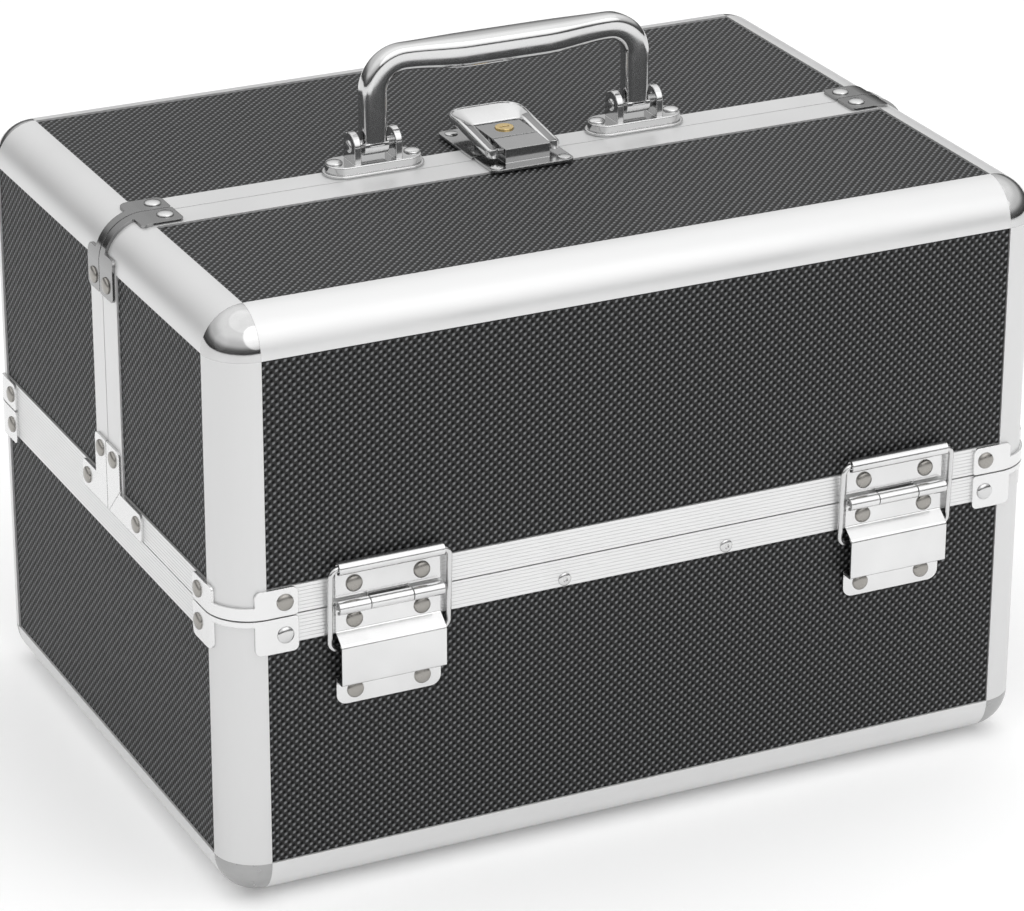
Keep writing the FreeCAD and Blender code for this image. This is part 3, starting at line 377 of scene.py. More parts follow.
LID_AXIS = joint_place("lid_hinge")
RING_AXIS = joint_place("stay_right_hinge")
HANDLE_AXIS = joint_place("handle_hinge")
HASP_AXIS = joint_place("hasp_hinge")
CASE_FRONT = corners_of("base_front_band")[0, 1]
CASE_TOP = corners_of("rear_top_rails")[1, 2]
CASE_MIDDLE = np.array((0.0, 0.0, LID_AXIS[2]))


# ------------------------------------------------------------------------------------------------ finishes
class Nodes:
    """Node tree, with short ways to add nodes and join them."""

    def __init__(self, tree: bpy.types.NodeTree) -> None:
        """Work on a tree."""
        self.tree = tree

    def add(self, kind: str, **inputs: object) -> bpy.types.Node:
        """Add a node, and set or join its inputs. A name that isn't an input is a property.

        Args:
            kind: Blender's name of the node's type.
            **inputs: Input or property names with spaces as underscores, and their values or sockets.

        Returns:
            The new node.
        """
        node = self.tree.nodes.new(kind)
        for name, value in inputs.items():
            label = name.replace("_", " ")
            if label in node.inputs:
                self.put(value, node.inputs[label])
            else:
                setattr(node, name, value)
        return node

    def put(self, value: object, socket: Socket) -> None:
        """Join a socket to an input, or set the input's own value.

        Args:
            value: Socket to join, or a plain value.
            socket: The input.
        """
        if isinstance(value, bpy.types.NodeSocket):
            self.tree.links.new(value, socket)
        else:
            socket.default_value = value

    def math(self, operation: str, *values: object) -> Socket:
        """Result of a Math node.

        Args:
            operation: Blender's name of the operation.
            *values: Numbers or sockets, in the order of the node's inputs.

        Returns:
            The node's output.
        """
        node = self.add("ShaderNodeMath", operation=operation)
        for value, socket in zip(values, node.inputs):
            self.put(value, socket)
        return node.outputs[0]

    def ranged(self, value: Socket, low: float, high: float, start: float = 0.0, end: float = 1.0) -> Socket:
        """A value from start to end mapped to low to high."""
        return self.add("ShaderNodeMapRange", Value=value, From_Min=start, From_Max=end,
                        To_Min=low, To_Max=high).outputs[0]

    def blend(self, share: object, first: object, second: object) -> Socket:
        """Colour between two colours.

        Args:
            share: Share of the second colour, a number or a socket.
            first: First colour.
            second: Second colour.

        Returns:
            The mixed colour.
        """
        node = self.add("ShaderNodeMix", data_type="RGBA")
        for value, number in ((share, 0), (first, 6), (second, 7)):
            self.put(value, node.inputs[number])
        return node.outputs[2]


class NodeSheet(Nodes):
    """Node tree of one material, with its shader and the place on the piece."""

    noise_low = 0.3
    noise_high = 0.7

    def __init__(self, name: str) -> None:
        """Start a material with a Principled shader and Object coordinates.

        Args:
            name: Name of the new material.
        """
        self.material = bpy.data.materials.new(name)
        self.material.use_nodes = True
        super().__init__(self.material.node_tree)
        self.shader = next(n for n in self.tree.nodes if n.type == "BSDF_PRINCIPLED")
        self.place = self.add("ShaderNodeTexCoord").outputs["Object"]

    def set(self, **inputs: object) -> None:
        """Set or join inputs of the shader."""
        for name, value in inputs.items():
            self.put(value, self.shader.inputs[name.replace("_", " ")])

    def scaled(self, scale: tuple[float, float, float]) -> Socket:
        """Object coordinates stretched along the axes.

        Args:
            scale: Factor on each axis.

        Returns:
            The stretched coordinates.
        """
        node = self.add("ShaderNodeVectorMath", operation="MULTIPLY")
        self.put(self.place, node.inputs[0])
        self.put(scale, node.inputs[1])
        return node.outputs[0]

    def noise(self, scale: float, detail: float = 2.0, vector: Socket | None = None) -> Socket:
        """Noise from 0 to 1. scale counts its spots in a metre."""
        return self.add("ShaderNodeTexNoise", Vector=vector or self.place, Scale=scale,
                        Detail=detail).outputs["Fac"]

    def varied(self, noise: Socket, middle: float, spread: float) -> Socket:
        """A value that wanders about its middle, by a spread to either side, as a noise does."""
        return self.ranged(noise, middle - spread, middle + spread, self.noise_low, self.noise_high)

    def axis(self, name: str) -> Socket:
        """X, Y or Z of the Object coordinates, in metres."""
        return self.add("ShaderNodeSeparateXYZ", Vector=self.place).outputs[name]

    def bump(self, height: Socket, distance: float, normal: Socket | None = None) -> Socket:
        """Normal bent by a height.

        Args:
            height: Height from 0 to 1.
            distance: What a height of 1 stands for, in metres.
            normal: Normal to bend, or none for the surface's own.

        Returns:
            The bent normal.
        """
        node = self.add("ShaderNodeBump", Height=height, Distance=distance, Strength=1.0)
        if normal:
            self.put(normal, node.inputs["Normal"])
        return node.outputs[0]

    def eased(self, radius: float) -> Socket:
        """Normal that is rounded along sharp edges."""
        return self.add("ShaderNodeBevel", Radius=radius * MM, samples=4).outputs[0]


def grey(level: float, warmth: float = 0.0) -> tuple[float, float, float, float]:
    """Grey of a level from 0 to 1. warmth lowers its blue and lifts its red."""
    return (level * (1 + warmth), level, level * (1 - 1.6 * warmth), 1.0)


@dataclass(frozen=True)
class Finish:
    """How a piece's surface looks. slot is the record's material that it stands for."""

    name: str
    slot: str

    def material(self) -> bpy.types.Material:
        """The finish's material, made once, under a name that no slot of the record has.

        Returns:
            The material.
        """
        name = f"look_{self.name}"
        found = bpy.data.materials.get(name)
        return found or self.dressed(NodeSheet(name)).material

    def dressed(self, sheet: NodeSheet) -> NodeSheet:
        """Fill the node sheet. Each kind of finish does this its own way."""
        raise NotImplementedError


@dataclass(frozen=True)
class Metal(Finish):
    """Bare or plated metal with soft smudges and eased edges."""

    level: float = 0.8
    warmth: float = 0.0
    roughness: float = 0.3
    spread: float = 0.05
    smudge_scale: float = 60.0
    edge: float = 0.2
    metallic: float = 1.0
    tone: tuple[float, float] = (0.96, 1.03)

    def dressed(self, sheet: NodeSheet) -> NodeSheet:
        """Metal whose roughness and tone follow a slow noise.

        Args:
            sheet: Node sheet of a new material.

        Returns:
            The same sheet, filled.
        """
        smudge = sheet.noise(self.smudge_scale, detail=4.0)
        low, high = (grey(self.level * share, self.warmth) for share in self.tone)
        sheet.set(Base_Color=sheet.blend(smudge, low, high), Metallic=self.metallic,
                  Roughness=sheet.varied(smudge, self.roughness, self.spread), Normal=sheet.eased(self.edge))
        return sheet


@dataclass(frozen=True)
class RingMetal(Metal):
    """Polished metal whose sunk strips, along the hasp's two arms, are darkened with painted shade."""

    strip_x: tuple[float, float] = (9.9, 12.3)
    strip_y: tuple[float, float] = (-14.0, 8.4)
    border: float = 0.25
    strip_painted_shade: float = 0.62

    def inside(self, sheet: NodeSheet, place: Socket, low: float, high: float) -> Socket:
        """1 between two places on an axis and 0 outside, with a soft border.

        Args:
            sheet: Node sheet to add to.
            place: Place on the axis, in metres.
            low: Where the strip starts, in millimetres.
            high: Where it ends.

        Returns:
            The share from 0 to 1.
        """
        middle, half = (low + high) / 2 * MM, (high - low) / 2 * MM
        off = sheet.math("ABSOLUTE", sheet.math("SUBTRACT", place, middle))
        return sheet.ranged(off, 1.0, 0.0, half - self.border * MM, half)

    def dressed(self, sheet: NodeSheet) -> NodeSheet:
        """Metal whose tone is darkened inside the sunk strips, as painted shade.

        Args:
            sheet: Node sheet of a new material.

        Returns:
            The same sheet, filled.
        """
        sheet = super().dressed(sheet)
        across = self.inside(sheet, sheet.math("ABSOLUTE", sheet.axis("X")), *self.strip_x)
        strip = sheet.math("MULTIPLY", across, self.inside(sheet, sheet.axis("Y"), *self.strip_y))
        tone = sheet.shader.inputs["Base Color"].links[0].from_socket
        # Painted shade: the sunk strips' colour is blended towards black.
        share = sheet.math("MULTIPLY", strip, self.strip_painted_shade)
        sheet.set(Base_Color=sheet.blend(share, tone, grey(0.0)))
        return sheet


@dataclass(frozen=True)
class RibbedMetal(Finish):
    """Satin extrusion with fine level lines, cut where the band's flat faces are, with painted shade in the
    grooves.
    """

    level: float = 0.8
    groove_shade_tone: float = 0.8
    roughness: float = 0.34
    spread: float = 0.05
    smudge_scale: float = 70.0
    pitch: float = 1.25
    depth: float = 0.12
    narrowness: float = 14.0
    edge: float = 0.15
    metallic: float = 0.6

    def dressed(self, sheet: NodeSheet) -> NodeSheet:
        """Grooves on Z: a high power of a cosine, which leaves one narrow dip for each pitch.

        Args:
            sheet: Node sheet of a new material.

        Returns:
            The same sheet, filled.
        """
        wave = sheet.math("COSINE", sheet.math("MULTIPLY", sheet.axis("Z"), 2 * math.pi / (self.pitch * MM)))
        groove = sheet.math("POWER", sheet.ranged(wave, 0.0, 1.0, -1.0, 1.0), self.narrowness)
        relief = sheet.bump(sheet.math("SUBTRACT", 1.0, groove), self.depth * MM, sheet.eased(self.edge))
        smudge = sheet.noise(self.smudge_scale, detail=3.0)
        # Painted shade: the grooves' colour is darkened as well as bumped in.
        sheet.set(Base_Color=sheet.blend(groove, grey(self.level), grey(self.level * self.groove_shade_tone)),
                  Metallic=self.metallic, Roughness=sheet.varied(smudge, self.roughness, self.spread),
                  Normal=relief)
        return sheet


@dataclass(frozen=True)
class DottedPanel(Finish):
    """Dark laminate whose embossed dots are painted lighter than the pits between them: a painted highlight
    on the crests and painted shade in the pits.
    """

    face: Face = Face.FRONT
    pit_shade_level: float = 0.0012
    middle_level: float = 0.028
    dot_highlight_level: float = 0.22
    dot_highlight_warmth: float = -0.02
    pit_shade_range: tuple[float, float] = (0.2, 0.85)
    dot_highlight_range: tuple[float, float] = (0.25, 0.95)
    roughness: float = 0.4
    spread: float = 0.06
    mottle_scale: float = 500.0
    specular: float = 0.12
    grain_scale: float = 2500.0
    grain_depth: float = 0.01

    def wave(self, sheet: NodeSheet, shift: tuple[float, float]) -> Socket:
        """slant * cos(p - q) + (1 - slant) * cos(p + q), p and q being the turns along both axes.

        Args:
            sheet: Node sheet to add to.
            shift: Parts of a turn by which the wave is moved along each axis.

        Returns:
            The wave, from -1 to 1.
        """
        lean = self.face.lean
        turns = [sheet.math("MULTIPLY_ADD", sheet.axis(axis), 2 * math.pi / (pitch * MM), -2 * math.pi * part)
                 for axis, pitch, part in ((self.face.across, PATTERN.across, shift[0] * lean),
                                           (self.face.along, PATTERN.along, shift[1]))]
        along = sheet.math("COSINE", sheet.math("MULTIPLY_ADD", turns[1], -lean, turns[0]))
        crossed = sheet.math("COSINE", sheet.math("MULTIPLY_ADD", turns[1], lean, turns[0]))
        rest = sheet.math("MULTIPLY", crossed, 1 - PATTERN.slant)
        return sheet.math("MULTIPLY_ADD", along, PATTERN.slant, rest)

    def dressed(self, sheet: NodeSheet) -> NodeSheet:
        """Painted highlight as light strokes on the relief's crests, and painted shade as a dark pit above
        each of them.

        Args:
            sheet: Node sheet of a new material.

        Returns:
            The same sheet, filled.
        """
        # Painted light: the strokes get a painted highlight and the shifted pits get painted shade.
        stroke, pit = self.wave(sheet, (0.0, 0.0)), self.wave(sheet, PATTERN.pit_shade_shift)
        pit_shade_share, stroke_highlight_share = (sheet.ranged(wave, 0.0, 1.0, *ends)
                             for wave, ends in ((pit, self.pit_shade_range), (stroke, self.dot_highlight_range)))
        pits = sheet.blend(pit_shade_share, grey(self.middle_level), grey(self.pit_shade_level))
        tone = sheet.blend(stroke_highlight_share, pits, grey(self.dot_highlight_level, self.dot_highlight_warmth))
        mottle = sheet.noise(self.mottle_scale, detail=3.0)
        sheet.set(Base_Color=tone, Specular_IOR_Level=self.specular,
                  Roughness=sheet.varied(mottle, self.roughness, self.spread),
                  Normal=sheet.bump(sheet.noise(self.grain_scale), self.grain_depth * MM))
        return sheet


@dataclass(frozen=True)
class Moulded(Finish):
    """Moulded plastic or rubber with a fine grain."""

    colour: tuple[float, float, float, float] = (0.02, 0.02, 0.02, 1.0)
    lightened: float = 1.25
    roughness: float = 0.5
    spread: float = 0.06
    drift_scale: float = 45.0
    grain_scale: float = 1800.0
    grain_depth: float = 0.03
    specular: float = 0.45

    def dressed(self, sheet: NodeSheet) -> NodeSheet:
        """Flat colour with a slow tone drift, under a fine noise grain.

        Args:
            sheet: Node sheet of a new material.

        Returns:
            The same sheet, filled.
        """
        drift = sheet.noise(self.drift_scale, detail=3.0)
        light = tuple(min(1.0, part * self.lightened) for part in self.colour[:3]) + (1.0,)
        sheet.set(Base_Color=sheet.blend(drift, self.colour, light), Specular_IOR_Level=self.specular,
                  Roughness=sheet.varied(drift, self.roughness, self.spread),
                  Normal=sheet.bump(sheet.noise(self.grain_scale), self.grain_depth * MM))
        return sheet


@dataclass(frozen=True)
class Felt(Finish):
    """Short-pile lining: fibres in two crossed noises with a soft sheen."""

    level: float = 0.018
    tone: tuple[float, float] = (0.4, 2.2)
    upright: tuple[float, float, float] = (2600.0, 2600.0, 420.0)
    lying: tuple[float, float, float] = (420.0, 520.0, 2600.0)
    pile: float = 0.25

    def dressed(self, sheet: NodeSheet) -> NodeSheet:
        """Fibres are the lighter of two stretched noises.

        Args:
            sheet: Node sheet of a new material.

        Returns:
            The same sheet, filled.
        """
        fibres = sheet.math("MAXIMUM", *(sheet.noise(1.0, detail=4.0, vector=sheet.scaled(scale))
                                         for scale in (self.upright, self.lying)))
        dark, light = (grey(self.level * share) for share in self.tone)
        sheet.set(Base_Color=sheet.blend(fibres, dark, light), Roughness=0.95, Specular_IOR_Level=0.2,
                  Sheen_Weight=0.35, Sheen_Roughness=0.5, Normal=sheet.bump(fibres, self.pile * MM))
        return sheet


class Finishes:
    """The finishes of the case, one for each kind of stock that it is made from, except that the satin rails
    and posts are a lit and a shaded copy of one.
    """

    rail = Metal("satin_rail", "satin_aluminium", level=0.74, roughness=0.4, smudge_scale=25.0, metallic=0.55)
    # Painted shade: the upright posts get a darker copy of the rails' satin aluminium, for the light that
    # they miss.
    shaded_post = Metal("shaded_satin_post", "satin_aluminium", level=0.70, roughness=0.4, smudge_scale=25.0, metallic=0.55)
    plate = Metal("satin_plate", "satin_aluminium", level=0.76, roughness=0.2, smudge_scale=60.0, edge=0.35,
                  metallic=0.85)
    band = RibbedMetal("ribbed_band", "satin_aluminium")
    cap = Metal("polished_cap", "plated_steel", level=0.60, roughness=0.1, spread=0.04, smudge_scale=110.0,
                tone=(0.75, 1.15))
    foot_cap = Metal("cast_cap", "grey_plastic", level=0.42, roughness=0.32, spread=0.08, smudge_scale=260.0,
                     metallic=0.8, edge=0.4, tone=(0.86, 1.06))
    strap = Metal("seam_strap", "plated_steel", level=0.28, roughness=0.14, smudge_scale=120.0, edge=0.3)
    hinge = Metal("hinge_plate", "plated_steel", level=0.74, roughness=0.2, spread=0.06, smudge_scale=55.0,
                  edge=0.25, tone=(0.8, 1.1))
    wire = Metal("ring_wire", "plated_steel", level=0.62, roughness=0.22, smudge_scale=160.0)
    chrome = Metal("bail_chrome", "chrome", level=0.62, roughness=0.11, spread=0.03, smudge_scale=150.0,
                   edge=0.35)
    casting = Metal("lock_casting", "chrome", level=0.42, roughness=0.13, smudge_scale=260.0, edge=0.4)
    ring = RingMetal("hasp_ring", "chrome", level=0.74, roughness=0.12, smudge_scale=260.0, edge=0.4)
    rivet = Metal("warm_rivet", "nickel_rivet", level=0.33, warmth=0.04, roughness=0.3, smudge_scale=500.0)
    silver_rivet = Metal("silver_rivet", "nickel_rivet", level=0.62, roughness=0.18, smudge_scale=500.0)
    brass = Metal("key_brass", "brass_key", level=0.62, warmth=0.34, roughness=0.2, smudge_scale=300.0,
                  edge=0.4)
    panels = {face: DottedPanel(f"dotted_painted_light_{face.name.lower()}", "textured_panel", face=face) for face in Face}
    lining = Felt("felt_lining", "black_lining")
    tray = Moulded("tray_plastic", "black_tray", colour=grey(0.02), roughness=0.42)
    rubber = Moulded("rubber_foot", "rubber", colour=grey(0.03), roughness=0.75, specular=0.25)


# ------------------------------------------------------------------------------------------------ workshop
@dataclass(frozen=True)
class Piece:
    """What a finished piece is called, what it moves with and which CAD nodes it stands for."""

    name: str
    body: str
    finish: Finish
    replaces: tuple[str, ...] = ()


@dataclass(frozen=True)
class Workshop:
    """Turns surfaces into Blender objects and dresses CAD nodes. Its two distances are in metres."""

    merged: float = 1e-6
    shortest: float = 1e-7

    def make(self, piece: Piece, surface: Surface, bevel: float = 0.0, smooth: float = 35.0) -> None:
        """Make a piece's object, at the origin with its place in its mesh.

        Args:
            piece: Name, body, finish and replaced nodes.
            surface: Shape in millimetres.
            bevel: Width of the rounding on sharp edges, 0 for none.
            smooth: Edges flatter than this many degrees are shaded smooth.
        """
        mesh = bpy.data.meshes.new(piece.name)
        mesh.from_pydata((surface.points * MM).tolist(), [], surface.faces)
        work = bmesh.new()
        work.from_mesh(mesh)
        bmesh.ops.remove_doubles(work, verts=work.verts, dist=self.merged)
        bmesh.ops.dissolve_degenerate(work, edges=work.edges, dist=self.shortest)
        bmesh.ops.recalc_face_normals(work, faces=work.faces)
        work.to_mesh(mesh)
        work.free()
        mesh.shade_smooth()
        mesh.set_sharp_from_angle(angle=math.radians(smooth))
        obj = bpy.data.objects.new(piece.name, mesh)
        bpy.context.scene.collection.objects.link(obj)
        mesh.materials.append(piece.finish.material())
        if bevel:
            edge = obj.modifiers.new("edges", "BEVEL")
            edge.width, edge.segments, edge.limit_method = bevel * MM, 2, "ANGLE"
            edge.angle_limit, edge.harden_normals = math.radians(smooth), True
        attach(obj, piece.body)
        if piece.replaces:
            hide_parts(*piece.replaces)
        log.info("%s: %d points, %d faces, on %s", piece.name, len(mesh.vertices), len(mesh.polygons),
                 piece.body)

    def dress(self, finish: Finish, *nodes: str) -> None:
        """Give CAD nodes a finish.

        Args:
            finish: The finish.
            *nodes: Names of the CAD nodes.
        """
        for name in nodes:
            mesh = frame["nodes"][name].data
            mesh.materials.clear()
            mesh.materials.append(finish.material())
            log.info("%s: %s", name, finish.name)


# ------------------------------------------------------------------------------------------------ fasteners
@dataclass
class Rivets:
    """Domed rivets and band screws, each where its CAD head stands."""

    rim: float = 0.22
    shoulder: float = 0.97
    lip: float = 0.06
    sunk: float = 0.05
    rows: int = 7
    screw_socket: float = 0.85
    screw_depth: float = 0.55
    socket_shares: tuple[float, float] = (0.92, 0.85)
    strap_low: float = 205.0
    corner_x: float = 120.0
    corner_y: float = -100.0
    corner_z: float = 104.0

    def heads(self, node: str) -> list[tuple[Array, Array, float, float]]:
        """Measure the heads in a CAD node. A head is thin along its axis, and away from the case's middle.

        Args:
            node: Name of the CAD node.

        Returns:
            Foot, way out, radius and height of each head.
        """
        low, high = solids_of(node)
        size, centre = high - low, (low + high) / 2
        thin = size.argmin(axis=1)
        number = np.arange(len(low))
        way = np.zeros_like(low)
        way[number, thin] = np.sign(centre - CASE_MIDDLE)[number, thin]
        height = size[number, thin]
        foot = centre - way * height[:, None] / 2
        return list(zip(foot, way, size.max(axis=1) / 2, height))

    def cap(self, radius: float, height: float, end: float) -> Array:
        """Profile of a dome: (radius cos a, rim + (height - rim) sin a) for an angle a from 0 to an end."""
        angle = np.linspace(0, end, self.rows)
        return np.stack([radius * np.cos(angle), self.rim + (height - self.rim) * np.sin(angle)], axis=1)

    def dome(self, radius: float, height: float) -> Surface:
        """Dome over a low rim, closed at its top."""
        foot = [(0, -self.sunk), (radius * self.shoulder, -self.sunk), (radius, self.lip)]
        return revolved(np.concatenate([foot, self.cap(radius, height, np.pi / 2)]))

    def screw(self, radius: float, height: float) -> Surface:
        """Dome whose middle falls into a round socket.

        Args:
            radius: Radius of the head.
            height: Height of the head.

        Returns:
            The head, on +Z.
        """
        cap = self.cap(radius, height, math.acos(self.screw_socket / radius))
        upper, lower = (self.screw_socket * share for share in self.socket_shares)
        floor = height - self.screw_depth
        socket = [(upper, cap[-1, 1] - self.lip), (lower, floor), (0, floor)]
        return revolved(np.concatenate([[(0, -self.sunk), (radius, -self.sunk)], cap, socket]))

    def is_silver(self, foot: Array) -> bool:
        """Whether a rivet is one of the bright ones: on the top straps and under the seam in front.

        Args:
            foot: Middle of the rivet's foot.

        Returns:
            True for a bright rivet.
        """
        on_strap = foot[2] > self.strap_low
        at_corner = abs(foot[0]) > self.corner_x and foot[1] < self.corner_y and foot[2] < self.corner_z
        return bool(on_strap or at_corner)

    def build(self, shop: Workshop) -> None:
        """Make the rivets of the base and of the lid in their two tones, and the screws.

        Args:
            shop: Workshop that makes the pieces.
        """
        for node, body in (("base_rivets", "case_base"), ("lid_rivets", "front_lid")):
            heads = self.heads(node)
            for silver, finish in ((False, Finishes.rivet), (True, Finishes.silver_rivet)):
                domes = [self.dome(radius, height).turned(upright_to(way), foot)
                         for foot, way, radius, height in heads if self.is_silver(foot) == silver]
                name = f"{node}_{'silver' if silver else 'nickel'}"
                shop.make(Piece(name, body, finish, (node,)), Surface.joined(domes))
        screws = [self.screw(radius, height).turned(upright_to(way), foot)
                  for foot, way, radius, height in self.heads("band_screws")]
        shop.make(Piece("band_screw_heads", "case_base", Finishes.silver_rivet, ("band_screws",)),
                  Surface.joined(screws))


# ------------------------------------------------------------------------------------------------ stay hinges
@dataclass
class StayHinge:
    """Hinge on the front: two rolled leaves, a pin and a wire ring that props the open lid."""

    side: Side
    middle: float = RING_AXIS[0]
    width: float = 37.0
    knuckle: float = 14.8
    gap: float = 0.3
    sheet: float = 0.9
    edge: float = 0.12
    axis_y: float = LID_AXIS[1]
    axis_z: float = LID_AXIS[2]
    curl_z: float = RING_AXIS[2]
    roll: float = 1.85
    roll_start: float = -22.0
    roll_end: float = 278.0
    roll_points: int = 26
    roll_foot: float = 2.6
    leaf_gap: float = 2.75
    overlap: float = 0.6
    bridge: tuple[tuple[float, float], ...] = ((0.45, 95.6), (5.25, 92.0), (5.25, 78.5), (0.45, 78.5))
    bridge_bends: tuple[float, ...] = (1.2, 1.5, 0.5, 0.5)
    bridge_end: float = 77.0
    foot_low: float = 69.5
    foot_high: float = 79.2
    foot_corner: float = 3.6
    pin_radius: float = 1.15
    pin_inset: float = 0.35
    pin_chamfer: float = 0.25
    wire: float = 1.0
    wire_points: int = 14
    ring_half: float = 20.9
    ring_corner: float = 3.0
    ring_low: float = 90.0
    ring_lean: float = 1.4

    @property
    def x(self) -> float:
        """Middle of the hinge."""
        return self.side.value * self.middle

    @property
    def flat_y(self) -> float:
        """Middle of a sheet that lies on the front of the case."""
        return CASE_FRONT - self.sheet / 2

    def curl(self, centre_z: float, sheet_end: float, up: bool) -> Array:
        """Middle line of a sheet that ends in a roll about (axis_y, centre_z).

        The roll is the point (axis_y + roll cos a, centre_z + roll sin a) for an angle a from just
        behind the sheet round the front, and upside down for a sheet that comes from above.

        Args:
            centre_z: Height of the roll's middle.
            sheet_end: Height where the flat sheet starts.
            up: Whether the sheet comes from below.

        Returns:
            Points in Y and Z.
        """
        sign = 1.0 if up else -1.0
        turn = np.radians(np.linspace(self.roll_start, self.roll_end, self.roll_points))
        roll = np.stack([self.axis_y + self.roll * np.cos(turn),
                         centre_z + sign * self.roll * np.sin(turn)], axis=1)
        flat = [(self.flat_y, sheet_end), (self.flat_y, centre_z - sign * self.roll_foot)]
        return np.concatenate([flat, roll])

    def sheet_bar(self, path: Array, start: float, end: float) -> Surface:
        """Sheet along a path in Y and Z, from one X to another beside the hinge's middle."""
        return extruded(strip(path, self.sheet), (1, 2, 0), self.x + start, self.x + end)

    def upper_leaf(self) -> Surface:
        """Leaf on the lid: a curl for the ring above, and the middle knuckle below.

        Returns:
            The leaf.
        """
        half, inner = self.width / 2, self.knuckle / 2
        low = self.axis_z + self.leaf_gap
        return Surface.joined([
            self.sheet_bar(self.curl(self.curl_z, low, True), -half, half),
            self.sheet_bar(self.curl(self.axis_z, low + self.overlap, False), -inner, inner),
        ])

    def lower_leaf(self) -> Surface:
        """Leaf on the base: two knuckles, a bridge over the ring's lower bar, and a riveted foot.

        Returns:
            The leaf.
        """
        half, inner = self.width / 2, self.knuckle / 2 + self.gap
        top = self.axis_z - self.leaf_gap
        spans = ((-half, -inner), (inner, half))
        knuckles = [self.sheet_bar(self.curl(self.axis_z, top - self.overlap, True), *span) for span in spans]
        corners = [(self.flat_y, top), *((CASE_FRONT - depth, z) for depth, z in self.bridge),
                   (self.flat_y, self.bridge_end)]
        path = open_path(corners, [0.0, *self.bridge_bends, 0.0])
        foot = rounded([(self.x - half, self.foot_low), (self.x + half, self.foot_low),
                        (self.x + half, self.foot_high), (self.x - half, self.foot_high)],
                       [self.foot_corner, self.foot_corner, 0.0, 0.0])
        plate = extruded(foot, (0, 2, 1), CASE_FRONT, CASE_FRONT - self.sheet)
        return Surface.joined([*knuckles, self.sheet_bar(path, -half, half), plate])

    def pin(self) -> Surface:
        """Pin through the three knuckles.

        Returns:
            The pin.
        """
        half = self.width / 2 - self.pin_inset
        ends = [(self.x + end, self.axis_y, self.axis_z) for end in (-half, half)]
        return bar(*ends, self.pin_radius, self.pin_chamfer)

    def ring(self) -> Surface:
        """Round wire along a rounded rectangle that leans back at its lower end.

        The section is the point (wire cos a, wire sin a), carried along the rectangle.

        Returns:
            The ring.
        """
        high, low = self.curl_z, self.ring_low
        flat = rounded([(-self.ring_half, low), (self.ring_half, low), (self.ring_half, high),
                        (-self.ring_half, high)], self.ring_corner, steps=8)
        lean = self.ring_lean * (high - flat[:, 1]) / (high - low)
        centres = np.stack([self.x + flat[:, 0], self.axis_y + lean, flat[:, 1]], axis=1)
        along = np.roll(centres, -1, axis=0) - np.roll(centres, 1, axis=0)
        along /= np.linalg.norm(along, axis=1, keepdims=True)
        out = np.cross((1.0, 0.0, 0.0), (0.0, -self.ring_lean, high - low))
        out /= np.linalg.norm(out)
        ups = np.broadcast_to(out, centres.shape)
        angle = np.linspace(0, 2 * np.pi, self.wire_points, endpoint=False)
        section = self.wire * np.stack([np.cos(angle), np.sin(angle)], axis=1)
        return swept(section, centres, np.cross(along, ups), ups, closed=True)

    def build(self, shop: Workshop) -> None:
        """Make this hinge's leaves, pin and ring. One hinge stands for its side of each CAD node.

        Args:
            shop: Workshop that makes the pieces.
        """
        word = self.side.name.lower()
        shop.make(Piece(f"hinge_upper_leaf_{word}", "front_lid", Finishes.hinge, ("hinge_upper_leaves",)),
                  self.upper_leaf(), self.edge)
        shop.make(Piece(f"hinge_lower_leaf_{word}", "case_base", Finishes.hinge, ("hinge_lower_leaves",)),
                  self.lower_leaf(), self.edge)
        shop.make(Piece(f"hinge_pin_{word}", "case_base", Finishes.cap, ("hinge_pins",)), self.pin())
        shop.make(Piece(f"stay_ring_{word}_wire", f"stay_ring_{word}", Finishes.wire, (f"stay_ring_{word}",)),
                  self.ring())


